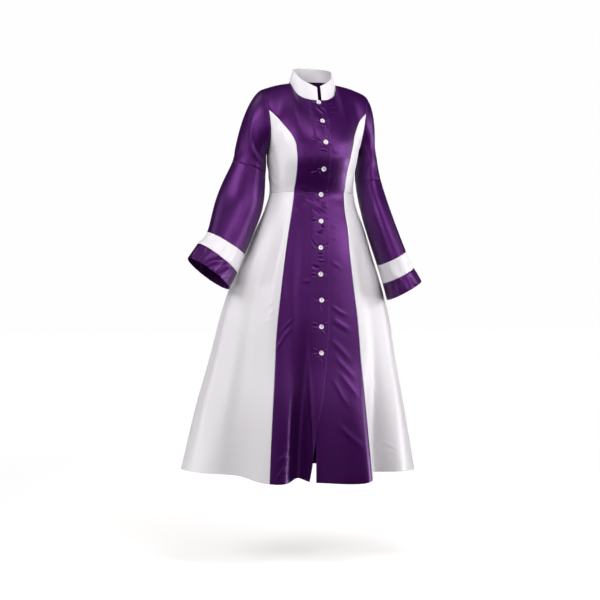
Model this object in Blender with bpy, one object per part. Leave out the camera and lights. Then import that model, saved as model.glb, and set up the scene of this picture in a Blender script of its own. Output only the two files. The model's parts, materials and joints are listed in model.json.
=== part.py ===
# Clergy robe, worn: a hollow garment of cut and sewn cloth panels, metres, +Z up, front towards -Y.
# Every panel is a thin wall. Its outer face lies on the form of the body, of a sleeve or of the collar.
# u runs round the body: 0 centre front, 1 left side, -1 right side, 2 centre back.
# v runs down it: 0 top edge, 1 chest, 2 waist, 3 hem.

import math

import bmesh
import bpy
import numpy as np
from mathutils import Matrix, Vector

NAME = "clergy_robe"

WALL = 0.0016
COLLAR_WALL = 0.0024
SEAM_HALF = 0.0002
ARMHOLE_TRIM = 0.0004
LAP_CLEAR = 0.0003

CHEST_Z = -0.215
WAIST_Z = -0.350
HEM_Z = -1.226

# Level sections of the body: z, half width, front depth, back depth, centre x, boxiness.
RINGS = np.array([
    (-1.226, 0.377, 0.237, 0.235, -0.0455, 0.015),
    (-1.000, 0.330, 0.200, 0.200, -0.0360, 0.020),
    (-0.868, 0.298, 0.174, 0.180, -0.0280, 0.020),
    (-0.714, 0.265, 0.152, 0.160, -0.0200, 0.025),
    (-0.645, 0.2435, 0.144, 0.152, -0.0175, 0.030),
    (-0.531, 0.200, 0.132, 0.138, -0.0110, 0.035),
    (-0.458, 0.1715, 0.122, 0.122, -0.0065, 0.035),
    (-0.400, 0.147, 0.112, 0.102, -0.0060, 0.035),
    (-0.350, 0.134, 0.105, 0.088, -0.0040, 0.035),
    (-0.300, 0.134, 0.124, 0.092, -0.0050, 0.040),
    (-0.255, 0.139, 0.141, 0.100, -0.0040, 0.050),
    (-0.215, 0.144, 0.142, 0.104, -0.0020, 0.050),
])

# Folds of the skirt: u of the middle, half width in u, depth at the hem with out as plus, z where it starts.
FOLDS = [
    (-0.105, 0.080, -0.050, -0.72),
    (-0.43, 0.16, -0.028, -0.52),
    (0.25, 0.11, 0.026, -0.85),
    (0.41, 0.13, -0.060, -0.80),
    (1.30, 0.16, -0.030, -0.65),
    (-1.34, 0.15, -0.028, -0.70),
    (1.72, 0.14, -0.034, -0.60),
    (-1.70, 0.16, -0.034, -0.62),
]
FOLD_SHARPNESS = 2.2

# How far the hem is above its lowest level: u, rise.
HEM_RISE = np.array([
    (-2.0, 0.004), (-1.1, 0.024), (-0.75, 0.026), (-0.45, 0.020), (-0.30, 0.002), (-0.16, 0.0), (-0.10, 0.010),
    (-0.05, 0.002), (0.0, 0.0), (0.27, 0.0), (0.33, 0.012), (0.42, 0.014), (1.0, 0.006), (2.0, 0.004),
])

# Top edge: the neckline, then the shoulder seam from the neck to the tip of the shoulder.
NECK_HALF = 0.073
NECK_DEEP = 0.0624
NECK_SHARE = 0.45
NECK_Z = np.array([(0, -0.064), (27, -0.059), (54, -0.043), (90, -0.003), (135, 0.010), (180, 0.013)])
TIP_X = 0.165
TIP_Y = 0.004
TIP_Z = -0.027
SHOULDER_CROWN = 0.003
SHOULDER_BLEND = 0.1

# Direction and length of the cloth where it reaches the top edge: share from centre to tip, y, z.
TOP_FRONT = np.array([
    (0.00, 0.085, 0.150), (0.22, 0.110, 0.120), (0.45, 0.150, 0.055), (0.70, 0.170, 0.025), (1.00, 0.270, 0.050),
])
TOP_BACK = np.array([
    (0.00, -0.060, 0.200), (0.22, -0.080, 0.170), (0.45, -0.130, 0.055), (0.70, -0.170, 0.025), (1.00, -0.270, 0.050),
])
ARM_FORWARD = 0.27
ARM_UP = 0.05
ARM_BLEND = 0.5

# Princess seams of the front: v, u of the right seam, u of the left seam, both as distance from the centre.
TIP_V = 0.41
FRONT_SEAM = np.array([
    (0.41, 1.000, 1.000), (0.59, 0.725, 0.745), (0.73, 0.550, 0.590), (0.83, 0.450, 0.500), (0.93, 0.395, 0.462),
    (1.08, 0.379, 0.445), (1.43, 0.374, 0.415), (1.75, 0.385, 0.410), (2.00, 0.398, 0.392), (2.11, 0.378, 0.335),
    (2.20, 0.352, 0.308), (2.30, 0.325, 0.297), (2.54, 0.302, 0.299), (2.70, 0.281, 0.300), (3.00, 0.262, 0.278),
])
BACK_SEAM = np.array([
    (0.41, 1.000), (0.59, 0.735), (0.73, 0.570), (0.83, 0.480), (0.93, 0.430), (1.08, 0.410), (1.43, 0.395),
    (2.00, 0.385), (2.20, 0.330), (2.54, 0.300), (3.00, 0.272),
])

# Edges of the opening: v, u of the lap edge of the right front, u of the hidden edge of the left front.
OPENING = np.array([
    (0.00, 0.090, -0.090), (0.40, 0.086, -0.088), (1.07, 0.085, -0.085), (1.84, 0.106, -0.098), (2.17, 0.0875, -0.080),
    (2.38, 0.071, -0.068), (2.56, 0.051, -0.058), (2.72, 0.018, -0.045), (2.86, -0.012, -0.026), (2.92, -0.030, -0.021),
    (3.00, -0.050, -0.0205),
])
LAP_RAMP = 0.014
LAP_HANG = 0.003
LAST_BUTTON_V = 2.60
EDGE_STEP = 0.01
STEP = 0.002
TINY = 1e-9
WEDGE_TIP = 0.02

# Columns of the panels: share from the centre to the armhole, shared by the neckline and the collar.
NECK_COLUMNS = [0.09, 0.18, 0.27, 0.36, 0.45]
SHOULDER_COLUMNS = [0.5875, 0.725, 0.8625, 1.0]
SIDE_BODICE_COLUMNS = 6
SIDE_SKIRT_COLUMNS = 10

# Rows of the body, from the top edge to the hem.
YOKE_ROWS = [0.0, 0.1, 0.2, 0.31, 0.41, 0.5, 0.59, 0.69, 0.79, 0.895]
BODICE_ROWS = [1.0, 1.33, 1.67]
SKIRT_ROWS = [2.0, 2.05, 2.11, 2.19, 2.28, 2.38, 2.49, 2.60, 2.71, 2.81, 2.91, 3.0]

# Sleeve sections from the upper arm to the cuff: x, y, z of the middle, half across, half deep, slope up and out,
# turn of the flat side, rise of the front edge. Angles in degrees.
SLEEVE_R = np.array([
    (-0.1990, 0.0060, -0.2240, 0.0500, 0.0500, 13.0, 2.0, 0.0),
    (-0.2035, 0.0080, -0.2695, 0.0550, 0.0500, 18.1, 8.0, 0.0),
    (-0.2340, 0.0000, -0.3800, 0.0725, 0.0520, 20.0, 16.0, 3.0),
    (-0.2900, -0.0450, -0.5100, 0.0670, 0.0620, 30.9, 16.0, 8.0),
    (-0.3200, -0.0620, -0.5560, 0.0750, 0.0660, 36.5, 16.0, 11.0),
    (-0.3510, -0.0790, -0.6020, 0.0780, 0.0700, 36.0, 16.0, 13.0),
])
SLEEVE_L = np.array([
    (0.1765, 0.0030, -0.2240, 0.0290, 0.0610, 10.0, 0.0, 0.0),
    (0.1785, -0.0150, -0.3050, 0.0380, 0.0590, 10.0, 0.0, 0.0),
    (0.1895, -0.0620, -0.4100, 0.0440, 0.0640, 20.0, 0.0, 0.0),
    (0.2290, -0.0940, -0.5510, 0.0480, 0.0740, 28.1, 4.0, 0.0),
    (0.2480, -0.1030, -0.6050, 0.0530, 0.0800, 28.5, 6.0, 0.0),
    (0.2650, -0.1110, -0.6525, 0.0600, 0.0850, 29.8, 8.0, 0.0),
])
# Position of each sleeve seam along the sections above.
ELBOW = 1.0
BAND_TOP = 3.0
BAND_END = 4.0
CUFF_END = 5.0
CAP_ROWS = [-1.0, -0.8, -0.6, -0.4, -0.2, 0.0]
UPPER_ROWS = [0.5, ELBOW]
LOWER_ROWS = [ELBOW, 1.4, 1.8, 2.2, 2.6, BAND_TOP]
BAND_ROWS = [BAND_TOP, 3.5, BAND_END]
CUFF_ROWS = [BAND_END, 4.5, CUFF_END]
# Direction of the sleeve where it leaves the armhole: share round it, out, up.
CAP_LEAVE = np.array([
    (0.0, 0.45, -0.80), (0.25, 0.75, -0.60), (0.5, 0.62, -0.36), (0.75, 0.75, -0.60), (1.0, 0.45, -0.80),
])

# Stand collar: half width, half depth and height of its top edge by angle from the front.
COLLAR_TOP_HALF = 0.0615
COLLAR_TOP_DEEP = 0.0520
COLLAR_TOP_Z = np.array([(0, -0.021), (45, 0.003), (90, 0.037), (135, 0.050), (180, 0.055)])
COLLAR_RIGHT_END = 0.0
COLLAR_LEFT_END = 9.0
COLLAR_ROWS = 3
COLLAR_CLEAR = 0.0004

# Buttons on the lap: u and v of each.
BUTTONS = [
    (-0.005, 0.055), (-0.010, 0.475), (0.002, 0.915), (0.004, 1.49), (-0.004, 2.01), (-0.012, 2.105), (-0.012, 2.1975),
    (-0.004, 2.29), (0.006, 2.38), (0.005, 2.4725), (0.007, 2.5625),
]
# Half profile of a button from the cloth up: radius, height.
BUTTON_PROFILE = [
    (0.0, 0.0), (0.0022, 0.0), (0.0022, 0.0016), (0.0060, 0.0022), (0.0073, 0.0042), (0.0062, 0.0064),
    (0.0030, 0.0074), (0.0, 0.0070),
]
BUTTON_STEPS = 12
SEAT_REACH = 0.03

PURPLE = ("purple_satin", (0.075, 0.018, 0.155, 1.0), 0.38)
WHITE = ("white_satin", (0.80, 0.79, 0.82, 1.0), 0.42)
PEARL = ("button_pearl", (0.70, 0.66, 0.72, 1.0), 0.22)


def smooth_at(x, xs, ys):
    """Value at x of the smooth curve through the points xs, ys."""
    slope = np.gradient(ys, xs)
    i = np.clip(np.searchsorted(xs, x) - 1, 0, len(xs) - 2)
    h = xs[i + 1] - xs[i]
    t = np.clip((x - xs[i]) / h, 0, 1)
    return (
        (2 * t**3 - 3 * t**2 + 1) * ys[i] + (t**3 - 2 * t**2 + t) * h * slope[i]
        + (3 * t**2 - 2 * t**3) * ys[i + 1] + (t**3 - t**2) * h * slope[i + 1]
    )


def ease(x):
    x = np.clip(x, 0, 1)
    return x * x * (3 - 2 * x)


def hermite(p0, t0, p1, t1, t):
    t = t[..., None]
    start = (2 * t**3 - 3 * t**2 + 1) * p0 + (t**3 - 2 * t**2 + t) * t0
    end = (3 * t**2 - 2 * t**3) * p1 + (t**3 - t**2) * t1
    return start + end


def section_point(u, z):
    """Point of the level section at height z, with the folds of the skirt."""
    angle = u * math.pi / 2
    half, front, back, centre_x, boxy = (smooth_at(z, RINGS[:, 0], RINGS[:, k]) for k in range(1, 6))
    depth = np.where(np.abs(u) <= 1, front, back)
    grow = 1 + boxy * np.sin(2 * angle) ** 2
    out = np.zeros(np.shape(u))
    for middle, half_wide, deep, start in FOLDS:
        strength = ease((start - z) / (start - HEM_Z))
        out = out + deep * strength * np.exp(-FOLD_SHARPNESS * ((u - middle) / half_wide) ** 2)
    normal_x = np.sin(angle) / half
    normal_y = -np.cos(angle) / depth
    length = np.hypot(normal_x, normal_y)
    x = centre_x + half * grow * np.sin(angle) + out * normal_x / length
    y = -depth * grow * np.cos(angle) + out * normal_y / length
    return np.stack([x, y, z], -1)


def top_edge(share, side, face):
    """Point of the neckline and shoulder seam. face is -1 at the front and 1 at the back."""
    angle = np.clip(share / NECK_SHARE, 0, 1) * 90
    round_neck = np.where(face < 0, angle, 180 - angle)
    neck_z = smooth_at(round_neck, NECK_Z[:, 0], NECK_Z[:, 1])
    neck_x = side * NECK_HALF * np.sin(np.radians(angle))
    neck_y = face * NECK_DEEP * np.cos(np.radians(angle))
    k = np.clip((share - NECK_SHARE) / (1 - NECK_SHARE), 0, 1)
    seam_x = neck_x + (side * TIP_X - neck_x) * k
    seam_y = TIP_Y * k
    seam_z = neck_z + (TIP_Z - neck_z) * k + SHOULDER_CROWN * np.sin(math.pi * k)
    on_neck = share <= NECK_SHARE
    return np.stack([
        np.where(on_neck, neck_x, seam_x), np.where(on_neck, neck_y, seam_y), np.where(on_neck, neck_z, seam_z),
    ], -1)


def yoke_point(u, rise):
    """Point above the chest section. rise is 0 at the chest and 1 at the top edge."""
    side = np.where(u < 0, -1.0, 1.0)
    face = np.where(np.abs(u) <= 1, -1.0, 1.0)
    share = np.where(face < 0, np.abs(u), 2 - np.abs(u))
    chest = section_point(u, CHEST_Z + 0 * u)
    below = section_point(u, CHEST_Z - 0.01 + 0 * u)
    top = top_edge(share, side, face)
    leave = (chest - below) / 0.01 * (top[..., 2:] - CHEST_Z)
    arm = ease((share - ARM_BLEND) / (1 - ARM_BLEND))[..., None]
    leave = leave * (1 - arm) + np.stack([0 * share, face * ARM_FORWARD, ARM_UP + 0 * share], -1) * arm
    arrive_y = np.where(
        face < 0, smooth_at(share, TOP_FRONT[:, 0], TOP_FRONT[:, 1]), smooth_at(share, TOP_BACK[:, 0], TOP_BACK[:, 1]))
    arrive_z = np.where(
        face < 0, smooth_at(share, TOP_FRONT[:, 0], TOP_FRONT[:, 2]), smooth_at(share, TOP_BACK[:, 0], TOP_BACK[:, 2]))
    return hermite(chest, leave, top, np.stack([0 * share, arrive_y, arrive_z], -1), rise)


def body_point(u, v):
    """Point of the outer face of the body of the robe. Past 2, at the centre back, u goes on from -2."""
    u, v = np.broadcast_arrays(np.asarray(u, float), np.asarray(v, float))
    u = np.where(u > 2, u - 4, u)
    hem = HEM_Z + smooth_at(u, HEM_RISE[:, 0], HEM_RISE[:, 1])
    bodice_z = CHEST_Z + (WAIST_Z - CHEST_Z) * np.clip(v - 1, 0, 1)
    z = np.where(v <= 2, bodice_z, WAIST_Z + (hem - WAIST_Z) * (v - 2))
    return np.where((v < 1)[..., None], yoke_point(u, np.clip(1 - v, 0, 1)), section_point(u, z))


def unit(vectors):
    return vectors / np.linalg.norm(vectors, axis=-1, keepdims=True)


def step_round(u, v):
    """Two places a small step apart round the body, on the same side of the armhole."""
    low, high = u - STEP, u + STEP
    front = np.abs(u) <= 1
    open_row = v < 1
    left = u > 0
    low_open = np.where(front, np.maximum(low, -1), np.where(left, np.maximum(low, 1 + TINY), low))
    high_open = np.where(front, np.minimum(high, 1), np.where(left, high, np.minimum(high, -1 - TINY)))
    return np.where(open_row, low_open, low), np.where(open_row, high_open, high)


def face_normal(u, v):
    """Unit normal of the outer face, by small steps along u and v."""
    low, high = step_round(u, v)
    along = body_point(high, v) - body_point(low, v)
    down = body_point(u, np.clip(v + STEP, 0, 3)) - body_point(u, np.clip(v - STEP, 0, 3))
    return unit(np.cross(down, along))


def body_normal(u, v):
    """Normal of the outer face. Front and back share one at the shoulder seam."""
    u, v = np.broadcast_arrays(np.asarray(u, float), np.asarray(v, float))
    away = np.where(np.abs(u) > 2, 4 - np.abs(u), np.abs(u))
    side = np.where(np.abs(u) > 2, -np.sign(u), np.sign(u))
    share = np.where(away <= 1, away, 2 - away)
    blend = ease(1 - v / SHOULDER_BLEND) * (share > NECK_SHARE - 0.01)
    own = face_normal(u, v)
    other = face_normal(side * (2 - away), v)
    return unit(own * (1 - 0.5 * blend)[..., None] + other * (0.5 * blend)[..., None])


def metres_per_u(u, v):
    low, high = step_round(u, v)
    return np.linalg.norm(body_point(high, v) - body_point(low, v), axis=-1) / (high - low)


def material(spec):
    name, colour, rough = spec
    made = bpy.data.materials.get(name) or bpy.data.materials.new(name)
    made.use_nodes = True
    shader = made.node_tree.nodes["Principled BSDF"]
    shader.inputs["Base Color"].default_value = colour
    shader.inputs["Roughness"].default_value = rough
    return made


def finish(name, mesh_data, spec, collection):
    """Object from a bmesh, with its faces turned out."""
    bmesh.ops.recalc_face_normals(mesh_data, faces=mesh_data.faces)
    mesh = bpy.data.meshes.new(name)
    mesh_data.to_mesh(mesh)
    mesh_data.free()
    mesh.materials.append(material(spec))
    made = bpy.data.objects.new(name, mesh)
    collection.objects.link(made)
    return made


def cloth_wall(name, outer, inner, spec, collection, tube=False):
    """Closed wall between an outer and an inner sheet of the same rows and columns."""
    rows, columns = outer.shape[:2]
    made = bmesh.new()
    sheets = []
    for sheet in (outer, inner):
        sheets.append([[made.verts.new(sheet[r, c]) for c in range(columns)] for r in range(rows)])
    out, back = sheets
    spans = columns if tube else columns - 1
    for r in range(rows - 1):
        for c in range(spans):
            d = (c + 1) % columns
            made.faces.new((out[r][c], out[r + 1][c], out[r + 1][d], out[r][d]))
            made.faces.new((back[r][c], back[r][d], back[r + 1][d], back[r + 1][c]))
    for c in range(spans):
        d = (c + 1) % columns
        made.faces.new((out[0][d], back[0][d], back[0][c], out[0][c]))
        made.faces.new((out[-1][c], back[-1][c], back[-1][d], out[-1][d]))
    if not tube:
        for r in range(rows - 1):
            made.faces.new((out[r][0], back[r][0], back[r + 1][0], out[r + 1][0]))
            made.faces.new((out[r + 1][-1], back[r + 1][-1], back[r][-1], out[r][-1]))
    bmesh.ops.triangulate(made, faces=made.faces, quad_method="FIXED")
    return finish(name, made, spec, collection)


def between(start, end, shares):
    """Columns of u between two edges, at shares of the way."""
    return start[:, None] + (end - start)[:, None] * np.asarray(shares)[None, :]


def body_panel(name, rows, columns, spec, collection, lift=None):
    """Panel of the body with u of its columns given at each row."""
    u = columns(np.array(rows))
    v = np.repeat(np.array(rows)[:, None], u.shape[1], 1)
    normal = body_normal(u, v)
    outer = body_point(u, v)
    if lift is not None:
        outer = outer + normal * lift(u, v)[..., None]
    return cloth_wall(name, outer, outer - normal * WALL, spec, collection)


def front_seam(v, side, trim):
    """u of a princess seam of the front, moved by trim metres away from the centre."""
    column = 1 if side < 0 else 2
    u = side * smooth_at(v, FRONT_SEAM[:, 0], FRONT_SEAM[:, column])
    u = np.where(v <= TIP_V, side * 1.0, u)
    return u + side * trim / metres_per_u(u, v)


def back_seam(v, side, trim):
    """u of a princess seam of the back, moved by trim metres away from the centre."""
    share = np.where(v <= TIP_V, 1.0, smooth_at(v, BACK_SEAM[:, 0], BACK_SEAM[:, 1]))
    u = side * (2 - share)
    return u - side * trim / metres_per_u(u, v)


def side_seam(v, side, trim):
    """u of the side seam, moved by trim metres towards the back."""
    u = side + 0 * v
    return u + side * trim / metres_per_u(u, v)


def opening_edge(v, column):
    return smooth_at(v, OPENING[:, 0], OPENING[:, column])


def lap_lift(u, v):
    """How far the right front stands off where it lies on the left front."""
    to_edge = (u - opening_edge(v, 2)) * metres_per_u(u, v)
    over = ease(1 + to_edge / LAP_RAMP + 0.25)
    hang = LAP_HANG * ease((v - LAST_BUTTON_V) / (3 - LAST_BUTTON_V) * 2)
    return (WALL + LAP_CLEAR + hang) * over


def opening_columns(v, own, other):
    """First three columns of a front: its own edge, the middle of the lap and the edge of the other front."""
    towards = 1.0 if own == 2 else -1.0
    edge = opening_edge(v, own)
    far = opening_edge(v, other)
    middle = (edge + far) / 2
    columns = [edge]
    for steps, line in ((1, middle), (2, far)):
        columns.append(towards * np.maximum(towards * line, towards * edge + steps * EDGE_STEP))
    return np.stack(columns, 1)


def front_columns(v, side):
    """Columns of a front panel, in rising u, between its opening edge and the princess seam and armhole."""
    own, other = (1, 2) if side < 0 else (2, 1)
    start = opening_columns(v, own, other)
    shares = [(share - NECK_COLUMNS[0]) / (1 - NECK_COLUMNS[0]) for share in NECK_COLUMNS[1:] + SHOULDER_COLUMNS]
    columns = np.concatenate([start, between(start[:, -1], front_seam(v, side, -SEAM_HALF), shares)], 1)
    return columns[:, ::-1] if side < 0 else columns


def back_columns(v):
    """Columns of the back panel, from the left seam to the right seam."""
    half = NECK_COLUMNS + SHOULDER_COLUMNS
    left = 2 + between(0 * v, back_seam(v, 1, -SEAM_HALF) - 2, list(reversed(half)))
    right = 2 + between(0 * v, 2 + back_seam(v, -1, -SEAM_HALF), half)
    return np.concatenate([left, 2 + 0 * v[:, None], right], 1)


def side_columns(v, side, face, count):
    """Columns of a side panel, between the princess seam and the side seam."""
    seam = front_seam if face < 0 else back_seam
    return between(seam(v, side, SEAM_HALF), side_seam(v, side, face * SEAM_HALF), np.linspace(0, 1, count))


def trimmed(rows, top=0.0, bottom=0.0):
    """Rows with the first and last moved in by metres of cloth."""
    rows = list(rows)
    for end, trim, step in ((0, top, 0.01), (-1, bottom, -0.01)):
        near = body_point(0.7, rows[end])
        far = body_point(0.7, rows[end] + step)
        rows[end] += step * trim / np.linalg.norm(far - near)
    return rows


def make_body(collection):
    long_rows = trimmed(YOKE_ROWS + BODICE_ROWS + SKIRT_ROWS, SEAM_HALF)
    wedge_rows = [TIP_V + WEDGE_TIP] + [v for v in YOKE_ROWS if v > TIP_V] + BODICE_ROWS + [SKIRT_ROWS[0]]
    wedge_rows = trimmed(wedge_rows, 0.0, SEAM_HALF)
    skirt_rows = trimmed(SKIRT_ROWS, SEAM_HALF)
    front = body_panel("front_right", long_rows, lambda v: front_columns(v, -1), PURPLE, collection, lap_lift)
    body_panel("front_left", long_rows, lambda v: front_columns(v, 1), PURPLE, collection)
    body_panel("back_centre", long_rows, back_columns, PURPLE, collection)
    parts = (("bodice", wedge_rows, SIDE_BODICE_COLUMNS), ("skirt", skirt_rows, SIDE_SKIRT_COLUMNS))
    for side, tag in ((-1, "r"), (1, "l")):
        for part, rows, count in parts:
            for face, place in ((-1, "front"), (1, "back")):
                body_panel(
                    f"side_{place}_{part}_{tag}", rows, lambda v: side_columns(v, side, face, count), WHITE, collection)
    return front


def armhole(share, side):
    """Point of the armhole: share 0 underarm, 0.25 front, 0.5 tip of the shoulder, 0.75 back."""
    rise = 1 - np.abs(1 - 2 * share)
    u = np.where(share <= 0.5, side * 1.0, side * (1.0 + TINY))
    return yoke_point(u, rise)


def sleeve_ring(share, along, table, side):
    """Point of a sleeve section at a place along the table."""
    places = np.arange(len(table), dtype=float)
    x, y, z, across, deep, slope, turn, dip = (smooth_at(along, places, table[:, k]) for k in range(8))
    slope, turn, dip = np.radians(slope), np.radians(turn), np.radians(dip)
    level = np.stack([side * np.cos(turn), -side * np.sin(turn), 0 * turn], -1)
    ahead = np.stack([-np.sin(turn), -np.cos(turn), 0 * turn], -1)
    up = np.array([0.0, 0.0, 1.0])
    out = level * np.cos(slope)[..., None] + up * np.sin(slope)[..., None]
    rise = up * np.cos(slope)[..., None] - level * np.sin(slope)[..., None]
    front = ahead * np.cos(dip)[..., None] + rise * np.sin(dip)[..., None]
    angle = 2 * math.pi * share
    centre = np.stack([x, y, z], -1)
    return centre - out * (across * np.cos(angle))[..., None] + front * (deep * np.sin(angle))[..., None]


def cap_point(share, t, table, side):
    """Point between the armhole, t = 0, and the first section, t = 1."""
    start = armhole(share, side)
    end = sleeve_ring(share, 0 * share, table, side)
    length = np.linalg.norm(end - start, axis=-1)[..., None]
    leave_out = side * smooth_at(share, CAP_LEAVE[:, 0], CAP_LEAVE[:, 1])
    leave_up = smooth_at(share, CAP_LEAVE[:, 0], CAP_LEAVE[:, 2])
    leave = np.stack([leave_out, 0 * share, leave_up], -1)
    step = 0.02
    axis = (sleeve_ring(share, step + 0 * share, table, side) - end) / step
    axis = axis / np.linalg.norm(axis, axis=-1, keepdims=True)
    return hermite(start, leave * length, end, axis * length, t)


def sleeve_point(share, w, table, side):
    """Outer face of a sleeve. w is -1 at the armhole, 0 at the first section, then the place along the table."""
    share, w = np.broadcast_arrays(np.asarray(share, float), np.asarray(w, float))
    cap = cap_point(share, np.clip(w + 1, 0, 1), table, side)
    return np.where((w < 0)[..., None], cap, sleeve_ring(share, np.clip(w, 0, None), table, side))


def sleeve_normal(share, w, table, side):
    step = 0.004
    low = np.clip(w - step, -1, len(table) - 1)
    high = np.clip(w + step, -1, len(table) - 1)
    around = sleeve_point((share + step) % 1, w, table, side) - sleeve_point((share - step) % 1, w, table, side)
    down = sleeve_point(share, high, table, side) - sleeve_point(share, low, table, side)
    return unit(np.cross(down, around) * side)


def sleeve_piece(name, rows, table, side, spec, collection):
    """Tube of cloth between two seams of a sleeve, trimmed at each."""
    around = [(1 - v) / 2 for v in reversed(YOKE_ROWS + [1.0])]
    around += [1 - share for share in reversed(around[1:-1])]
    share = np.repeat(np.array(around)[None, :], len(rows), 0)
    w = np.repeat(np.array(rows)[:, None], len(around), 1)
    for end, step in ((0, 0.01), (-1, -0.01)):
        trim = ARMHOLE_TRIM if rows[end] < 0 else SEAM_HALF
        near = sleeve_point(share[end], w[end], table, side)
        far = sleeve_point(share[end], w[end] + step, table, side)
        w[end] += step * trim / np.linalg.norm(far - near, axis=-1)
    outer = sleeve_point(share, w, table, side)
    inner = outer - sleeve_normal(share, w, table, side) * WALL
    return cloth_wall(name, outer, inner, spec, collection, tube=True)


def make_sleeves(collection):
    for side, tag, table in ((-1, "r", SLEEVE_R), (1, "l", SLEEVE_L)):
        sleeve_piece("upper_sleeve_" + tag, CAP_ROWS + UPPER_ROWS, table, side, PURPLE, collection)
        sleeve_piece("lower_sleeve_" + tag, LOWER_ROWS, table, side, PURPLE, collection)
        sleeve_piece("sleeve_band_" + tag, BAND_ROWS, table, side, WHITE, collection)
        sleeve_piece("sleeve_cuff_" + tag, CUFF_ROWS, table, side, PURPLE, collection)


def collar_point(angle, height):
    """Outer face of the collar: angle in degrees from the front, height 0 at the neckline and 1 at the top."""
    stops = np.array([share * 90 / NECK_SHARE for share in NECK_COLUMNS])
    stops = np.concatenate([[0.0], stops, 180 - stops[-2::-1], [180.0]])
    away = np.abs(angle)
    sign = np.where(angle < 0, -1.0, 1.0)
    low_x = sign * np.interp(away, stops, NECK_HALF * np.sin(np.radians(stops)))
    low_y = np.interp(away, stops, -NECK_DEEP * np.cos(np.radians(stops)))
    low_z = np.interp(away, stops, smooth_at(stops, NECK_Z[:, 0], NECK_Z[:, 1])) + COLLAR_CLEAR
    top_x = COLLAR_TOP_HALF * np.sin(np.radians(angle))
    top_y = -COLLAR_TOP_DEEP * np.cos(np.radians(angle))
    top_z = smooth_at(away, COLLAR_TOP_Z[:, 0], COLLAR_TOP_Z[:, 1])
    low = np.stack([low_x, low_y, low_z], -1)
    top = np.stack([top_x, top_y, top_z], -1)
    return low + (top - low) * height[..., None]


def make_collar(collection):
    stops = [share * 90 / NECK_SHARE for share in NECK_COLUMNS]
    half = stops + [180 - stop for stop in reversed(stops[:-1])]
    around = np.array([COLLAR_LEFT_END] + half + [180.0] + [-stop for stop in reversed(half)] + [-COLLAR_RIGHT_END])
    angle = np.repeat(around[None, :], COLLAR_ROWS, 0)
    height = np.repeat(np.linspace(0, 1, COLLAR_ROWS)[:, None], len(around), 1)
    outer = collar_point(angle, height)
    spin = np.radians(angle)
    level = np.stack([np.sin(spin) / NECK_HALF, -np.cos(spin) / NECK_DEEP, 0 * spin], -1)
    rise = outer[-1:] - outer[:1] + 0 * outer
    level = unit(level)
    normal = unit(level - unit(rise) * np.sum(level * unit(rise), -1, keepdims=True))
    return cloth_wall("collar", outer, outer - normal * COLLAR_WALL, WHITE, collection)


def make_button(name, u, v, front, collection):
    """Shank button turned from a half profile and seated on the right front."""
    made = bmesh.new()
    ring = [made.verts.new((radius, 0.0, height)) for radius, height in BUTTON_PROFILE]
    edges = [made.edges.new(pair) for pair in zip(ring, ring[1:])]
    bmesh.ops.spin(
        made, geom=ring + edges, cent=(0, 0, 0), axis=(0, 0, 1), angle=2 * math.pi, steps=BUTTON_STEPS, use_merge=True)
    bmesh.ops.remove_doubles(made, verts=made.verts, dist=1e-6)
    away = Vector(body_normal(u, v))
    found, seat, normal, face = front.ray_cast(Vector(body_point(u, v)) + away * SEAT_REACH, -away)
    if not found:
        raise ValueError(name + " has no cloth under it")
    turn = normal.to_track_quat("Z", "Y").to_matrix().to_4x4()
    bmesh.ops.transform(made, matrix=Matrix.Translation(seat + normal * LAP_CLEAR) @ turn, verts=made.verts)
    return finish(name, made, PEARL, collection)


def main():
    for item in list(bpy.data.objects):
        bpy.data.objects.remove(item, do_unlink=True)
    collection = bpy.data.collections.new(NAME)
    bpy.context.scene.collection.children.link(collection)
    front = make_body(collection)
    make_sleeves(collection)
    make_collar(collection)
    bpy.context.view_layer.update()
    for number, (u, v) in enumerate(BUTTONS, 1):
        make_button(f"button_{number:02d}", u, v, front, collection)


main()
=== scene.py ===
# %% [markdown]
# A clergy robe, hollow and hung as it is when worn. The real one is cut from satin in panels: two long
# fronts and a long back in a dark colour, white side panels, sleeves with a white band above the cuff, a
# stand collar and a row of buttons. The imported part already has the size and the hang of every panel. This
# script dresses it: each panel becomes a thin sheet of cloth on the same form, with its creases, seams,
# stitches and satin.

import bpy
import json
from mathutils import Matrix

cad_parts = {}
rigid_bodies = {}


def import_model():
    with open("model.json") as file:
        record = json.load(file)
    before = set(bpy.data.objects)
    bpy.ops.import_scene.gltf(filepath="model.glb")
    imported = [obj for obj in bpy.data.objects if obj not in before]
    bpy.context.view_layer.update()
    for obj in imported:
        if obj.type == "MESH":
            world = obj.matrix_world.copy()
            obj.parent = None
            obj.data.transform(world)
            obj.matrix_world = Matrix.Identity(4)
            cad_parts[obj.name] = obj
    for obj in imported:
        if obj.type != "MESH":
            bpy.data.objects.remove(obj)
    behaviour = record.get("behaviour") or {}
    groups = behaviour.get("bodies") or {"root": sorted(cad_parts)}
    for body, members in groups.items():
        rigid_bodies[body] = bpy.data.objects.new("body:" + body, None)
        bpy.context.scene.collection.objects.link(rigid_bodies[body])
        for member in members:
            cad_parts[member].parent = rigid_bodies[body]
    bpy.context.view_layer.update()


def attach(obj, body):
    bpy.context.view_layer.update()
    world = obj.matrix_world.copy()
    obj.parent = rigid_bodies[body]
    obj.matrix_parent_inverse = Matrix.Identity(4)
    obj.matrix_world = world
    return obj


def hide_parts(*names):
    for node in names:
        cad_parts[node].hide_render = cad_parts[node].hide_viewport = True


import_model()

# %% Tools
import json
import math

import bmesh
import bpy
import numpy as np
from mathutils import Matrix, Vector


def deselect_all():
    for item in bpy.context.view_layer.objects:
        item.select_set(False)


def make_active(item):
    deselect_all()
    item.select_set(True)
    bpy.context.view_layer.objects.active = item


def add_to_scene(item):
    bpy.context.scene.collection.objects.link(item)


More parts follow.
